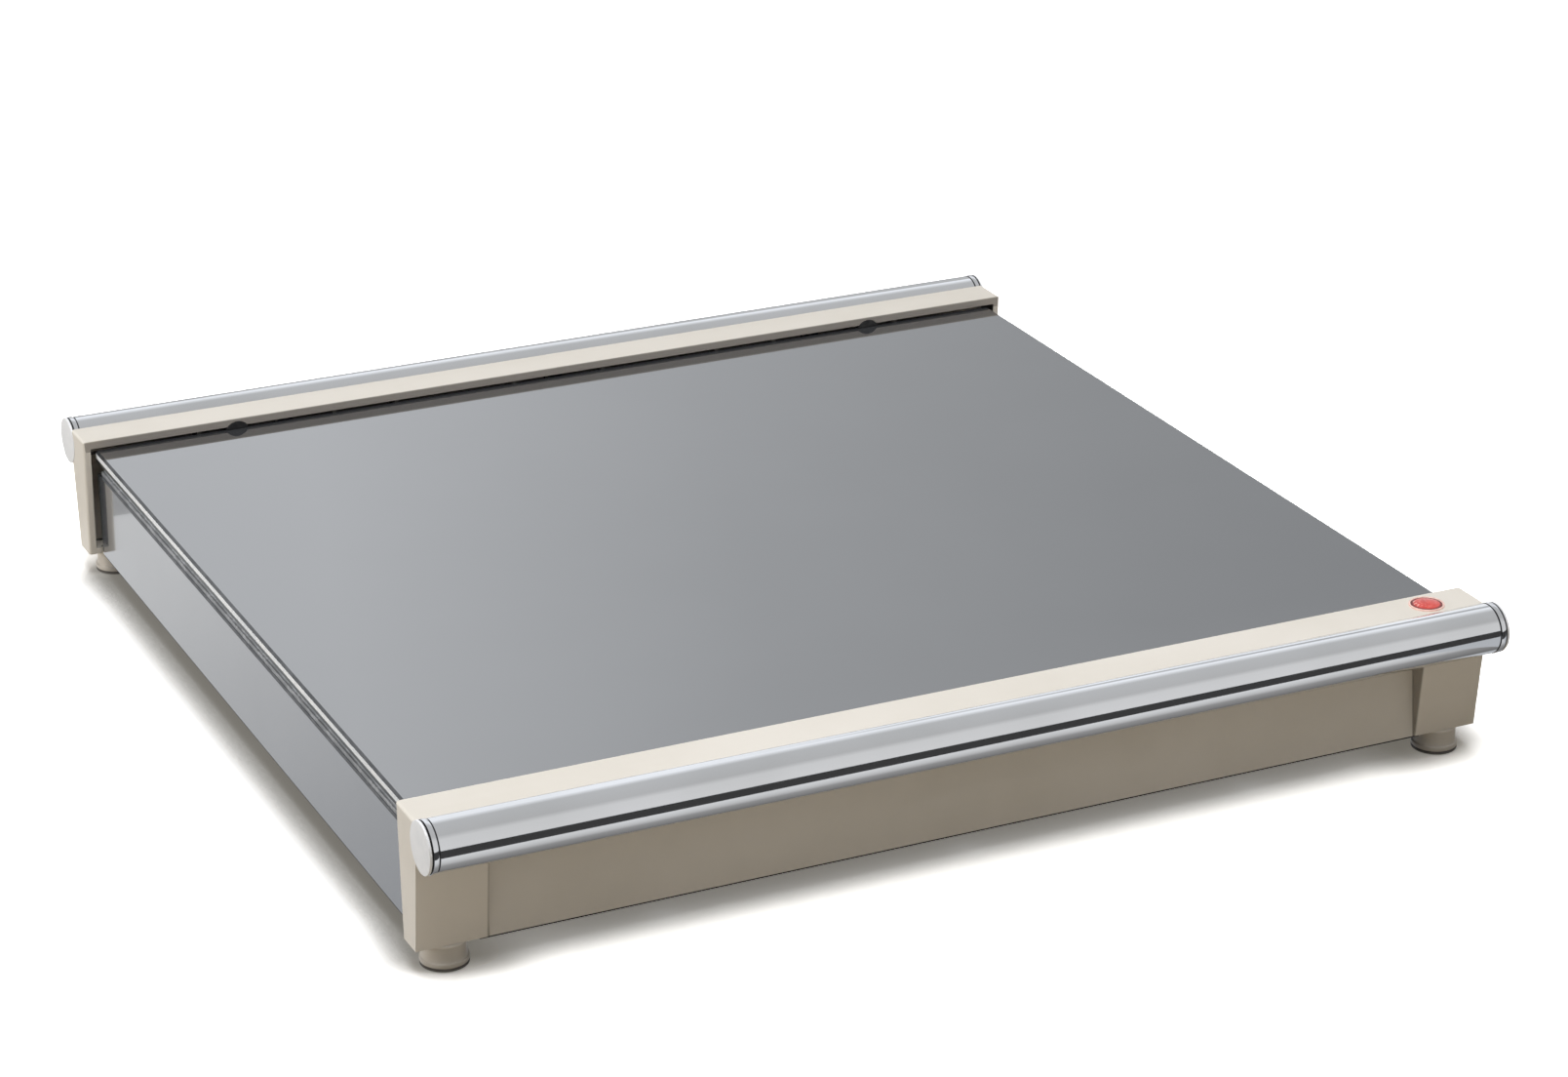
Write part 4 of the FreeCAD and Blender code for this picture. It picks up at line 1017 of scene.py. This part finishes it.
def makeBezel():
    low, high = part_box("button_bezel")
    outer = (high.x - low.x) / 2
    inner = switchSizes["radius"] + bezelSizes["gap"]
    edge = bezelSizes["edge"]
    steps = [(inner, low.z), (outer, low.z)]
    steps += [(outer - inward, high.z - down) for inward, down in bezelSizes["round"]]
    steps += [(inner + edge, high.z), (inner, high.z - edge), (inner, low.z)]
    ring = turn("switchRing", switchCentre, (0, 0, 1), steps)
    dress(ring, "bezel")
    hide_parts("button_bezel")
    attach(ring, "tray")


# The coil spring, with a mesh of its own
def makeSpring():
    spring = refine("button_spring", "buttonSpring", 0.0, ["spring"])
    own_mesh(spring)


# Pieces that keep the solid's own form: node, piece, rounded edge and finishes
refinedPieces = (
    ("front_beam", "beamFront", 0.35 * mm, ["beam", "inside"]),
    ("rear_beam", "beamRear", 0.35 * mm, ["beam", "inside"]),
    ("tray_body", "trayBody", 0.3 * mm, ["body"]),
    ("glass_seal", "sealFrame", 0.3 * mm, ["seal"]),
    ("bottom_cover", "coverSheet", 0.2 * mm, ["cover"]),
    ("glass_retainers", "glassStops", 0.3 * mm, ["stop"]),
    ("inlet_housing", "inletBody", 0.3 * mm, ["housing"]),
    ("inlet_pins", "inletPins", 0.25 * mm, ["terminal"]),
)

makeGlassTop()
makeTube("chromeTubeFront", -1, "front_tube")
makeTube("chromeTubeRear", 1, "rear_tube")
placeAtCorners(makeCollar(), "tube_collar_", "collar")
placeAtCorners(makeDisc(), "tube_cap_", "disc")
placeAtCorners(makeFoot(), "foot_", "foot")
placeAtCorners(makePad(), "foot_pad_", "pad")
makeLens()
makeBezel()
makeSpring()
print("turned pieces made")

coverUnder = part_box("bottom_cover")[0].z
coverScrew = makeScrew("coverScrewHead", screwSizes["coverHead"], screwSizes["coverLength"])
placeScrews(coverScrew, "coverScrews", solidCentres("cover_screws", coverUnder), "cover_screws")
footScrew = makeScrew("footScrewHead", screwSizes["footHead"], screwSizes["footLength"])
placeScrews(footScrew, "footScrews", solidCentres("foot_screws", footSizes["seat"]), "foot_screws")
print("screws made")

for node, name, edge, finishNames in refinedPieces:
    made = refine(node, name, edge, finishNames)
    if "inside" in finishNames:
        shadeInside(made)
print("mouldings and sheets refined")


# Floor, light and camera
white, unlit = (1.0, 1.0, 1.0), (0.0, 0.0, 0.0)
floorLook = {
    "size": 16.0, "drop": 0.0003, "tone": 0.9, "speck": 1.01,
    # what the floor sends to other pieces, to the eye, and of itself
    "bounce": (0.415, 0.352, 0.258), "seen": 2.4, "lift": (0.15, 0.14, 0.12),
    "away": (0.6, 1.6),  # it turns white between these distances
    # the painted deeper shade beside the side walls, on the floor as the eye sees it: its darkest, its
    # reach, its onset and where it ends
    "beside": 0.1, "reach": 0.035, "onset": (0.5, 0.97), "fromSide": (0.17, 0.2), "toEnd": (0.19, 0.25),
    # what other pieces mirror of it, from front to rear
    "mirrorFade": (-0.25, 0.35), "mirrorFront": (0.50, 0.52, 0.55), "mirrorRear": (0.97, 0.985, 1.0),
}


def makeFloorFinish():
    material, board = newFinish("paleFloor")
    diffuseRay, cameraRay, glossyRay = board.path("Is Diffuse Ray", "Is Camera Ray", "Is Glossy Ray")
    x, y = board.parts()[:2]
    away = ((x * x + y * y) ** 0.5).spread(*floorLook["away"])
    near = board.node("ShaderNodeAmbientOcclusion", {"samples": 16}, {"Distance": floorLook["reach"]}, "AO")
    near = near.spread(*floorLook["onset"], floorLook["beside"], 1.0)
    beside = abs(x).spread(*floorLook["fromSide"]) * abs(y).spread(*floorLook["toEnd"], 1.0, 0.0)
    shade = 1.0 - beside * (1.0 - near)
    shade = board.node("ShaderNodeCombineXYZ", {}, {"X": shade, "Y": shade, "Z": shade})
    speck = board.noise(0.4, 2.0, 0.5)
    pale = board.blend(speck, [floorLook["tone"]] * 3, [floorLook["tone"] * floorLook["speck"]] * 3)
    tone = board.blend(diffuseRay, pale, floorLook["bounce"])
    tone = board.blend(glossyRay, tone, unlit)
    seen = board.blend(1.0, shade, [floorLook["tone"] * floorLook["seen"]] * 3, "MULTIPLY")
    tone = board.blend(cameraRay, tone, seen)
    fade = y.spread(*floorLook["mirrorFade"])
    mirrored = board.blend(fade, floorLook["mirrorFront"], floorLook["mirrorRear"])
    glow = board.blend(cameraRay, mirrored, board.blend(away, floorLook["lift"], white))
    glow = board.blend(diffuseRay, glow, unlit)
    board.coat({"Base Color": tone, "Roughness": 1.0, "Specular IOR Level": 0.0,
                "Emission Color": glow, "Emission Strength": 1.0})
    return material


def makeFloor():
    selectNone()
    bpy.ops.mesh.primitive_plane_add(size=floorLook["size"], location=(0, 0, -floorLook["drop"]))
    floor = bpy.context.object
    floor.name = "paleFloor"
    floor.data.materials.append(makeFloorFinish())


# Cards that show only in reflections: two corners, and tones along y from 0 to 1
cards = {
    "blackCard": ((-4.0, -4.4, 0.0005), (4.0, -0.314, 0.0005),
                  [(0.0, (0.04, 0.04, 0.04)), (1.0, (0.045, 0.045, 0.046))]),
    "greyCard": ((-0.232, -0.314, 0.0005), (0.27, -0.205, 0.0005),
                 [(0.0, (0.72, 0.73, 0.74)), (0.27, (0.65, 0.66, 0.67)), (0.46, (0.54, 0.545, 0.55)),
                  (0.62, (0.30, 0.30, 0.30)), (1.0, (0.15, 0.15, 0.15))]),
    "rearCard": ((-0.5, 0.262, 0.0), (0.5, 0.262, 0.086),
                 [(0.0, (0.5, 0.51, 0.52)), (1.0, (0.5, 0.51, 0.52))]),
}


def makeCard(name, low, high, stops):
    middle = [(low[axis] + high[axis]) / 2 for axis in range(3)]
    standing = high[2] > low[2]
    tilt = math.pi / 2 if standing else 0.0
    selectNone()
    bpy.ops.mesh.primitive_plane_add(size=1.0, location=middle, rotation=(tilt, 0.0, 0.0))
    card = bpy.context.object
    card.name = name
    card.scale = (high[0] - low[0], high[2] - low[2] if standing else high[1] - low[1], 1.0)
    bpy.ops.object.transform_apply(location=True, rotation=True, scale=True)
    material, board = newFinish(name)
    along = board.parts()[1].slope(low[1], high[1])
    board.coat({"Base Color": (*unlit, 1.0), "Roughness": 1.0, "Specular IOR Level": 0.0,
                "Emission Color": along.ramp(stops), "Emission Strength": 1.0})
    card.data.materials.append(material)
    card.visible_camera = False
    card.visible_diffuse = False
    card.visible_shadow = False
    card.visible_transmission = False


skyLook = {
    "around": 0.24,  # its level as plain light
    # mirrored tones along the arc from the rear horizon over the top to the front one
    "arc": [(0.0, (0.93, 0.96, 1.0)), (0.22, (0.93, 0.96, 1.0)), (0.35, (0.52, 0.53, 0.54)),
            (0.66, (0.49, 0.495, 0.50)), (0.76, (0.66, 0.665, 0.67)), (1.0, (0.68, 0.685, 0.69))],
    # a band low at the rear is dimmer toward the right
    "bandStart": (0.085, 0.11), "bandEnd": (0.15, 0.185), "across": (0.25, 0.55),
    "dim": [(0.0, white), (0.13, white), (0.44, (0.72, 0.72, 0.72)), (0.72, (0.56, 0.56, 0.56)),
            (1.0, (0.46, 0.46, 0.46))],
}


def makeWorld():
    world = bpy.data.worlds.new("studio")
    bpy.context.scene.world = world
    world.use_nodes = True
    board = Board(world.node_tree)
    cameraRay, glossyRay = board.path("Is Camera Ray", "Is Glossy Ray")
    x, y, z = board.parts(board.node("ShaderNodeTexCoord", output="Generated"))
    arc = z.maths("ARCTAN2", z, y) / math.pi
    seen = arc.ramp(skyLook["arc"])
    band = arc.slope(*skyLook["bandStart"]) - arc.slope(*skyLook["bandEnd"])
    dim = x.slope(*skyLook["across"]).ramp(skyLook["dim"])
    seen = board.blend(band, seen, board.blend(1.0, seen, dim, "MULTIPLY"))
    tone = board.blend(glossyRay, [skyLook["around"]] * 3, seen)
    tone = board.blend(cameraRay, tone, white)
    surface = board.node("ShaderNodeBackground", {}, {"Color": tone, "Strength": 1.0})
    board.end(surface, "ShaderNodeOutputWorld")


lamps = {
    "above": {"place": (-0.15, -0.5, 2.2), "target": (0, 0, 0), "size": (1.3, 1.3), "watts": 40.5},
    "left": {"place": (-1.5, 0.5, 0.35), "target": (0, 0, 0.04), "size": (1.2, 0.4), "watts": 10.0},
}


def makeLamp(name, place, target, size, watts):
    lamp = bpy.data.lights.new(name, "AREA")
    lamp.shape = "RECTANGLE"
    lamp.size, lamp.size_y = size
    lamp.energy = watts
    holder = bpy.data.objects.new(name, lamp)
    holder.location = place
    holder.rotation_euler = (Vector(target) - Vector(place)).to_track_quat("-Z", "Y").to_euler()
    holder.visible_glossy = False
    addToScene(holder)


# the camera's place in millimetres, the way it looks and its lens, as for the photograph
cameraPlace = {
    "eye": (-663.7, -1463.0, 713.6), "forward": (0.39122, 0.83769, -0.38109),
    "up": (0.1646, 0.34373, 0.92453), "lens": 95.575, "sensor": 36.0, "near": 0.05, "far": 50.0,
}


def makeCamera():
    camera = bpy.data.cameras.new("photoCamera")
    camera.sensor_fit = "HORIZONTAL"
    camera.sensor_width = cameraPlace["sensor"]
    camera.lens = cameraPlace["lens"]
    camera.clip_start = cameraPlace["near"]
    camera.clip_end = cameraPlace["far"]
    holder = bpy.data.objects.new("photoCamera", camera)
    addToScene(holder)
    forward = Vector(cameraPlace["forward"]).normalized()
    right = forward.cross(Vector(cameraPlace["up"])).normalized()
    up = right.cross(forward)
    holder.location = Vector(cameraPlace["eye"]) * mm
    holder.rotation_euler = Matrix((right, up, -forward)).transposed().to_euler()
    bpy.context.scene.camera = holder


makeFloor()
for name, (low, high, stops) in cards.items():
    makeCard(name, low, high, stops)
makeWorld()
for name, lamp in lamps.items():
    makeLamp(name, **lamp)
makeCamera()
bpy.context.scene.view_settings.view_transform = "Standard"
print("stage, lamps and camera set")
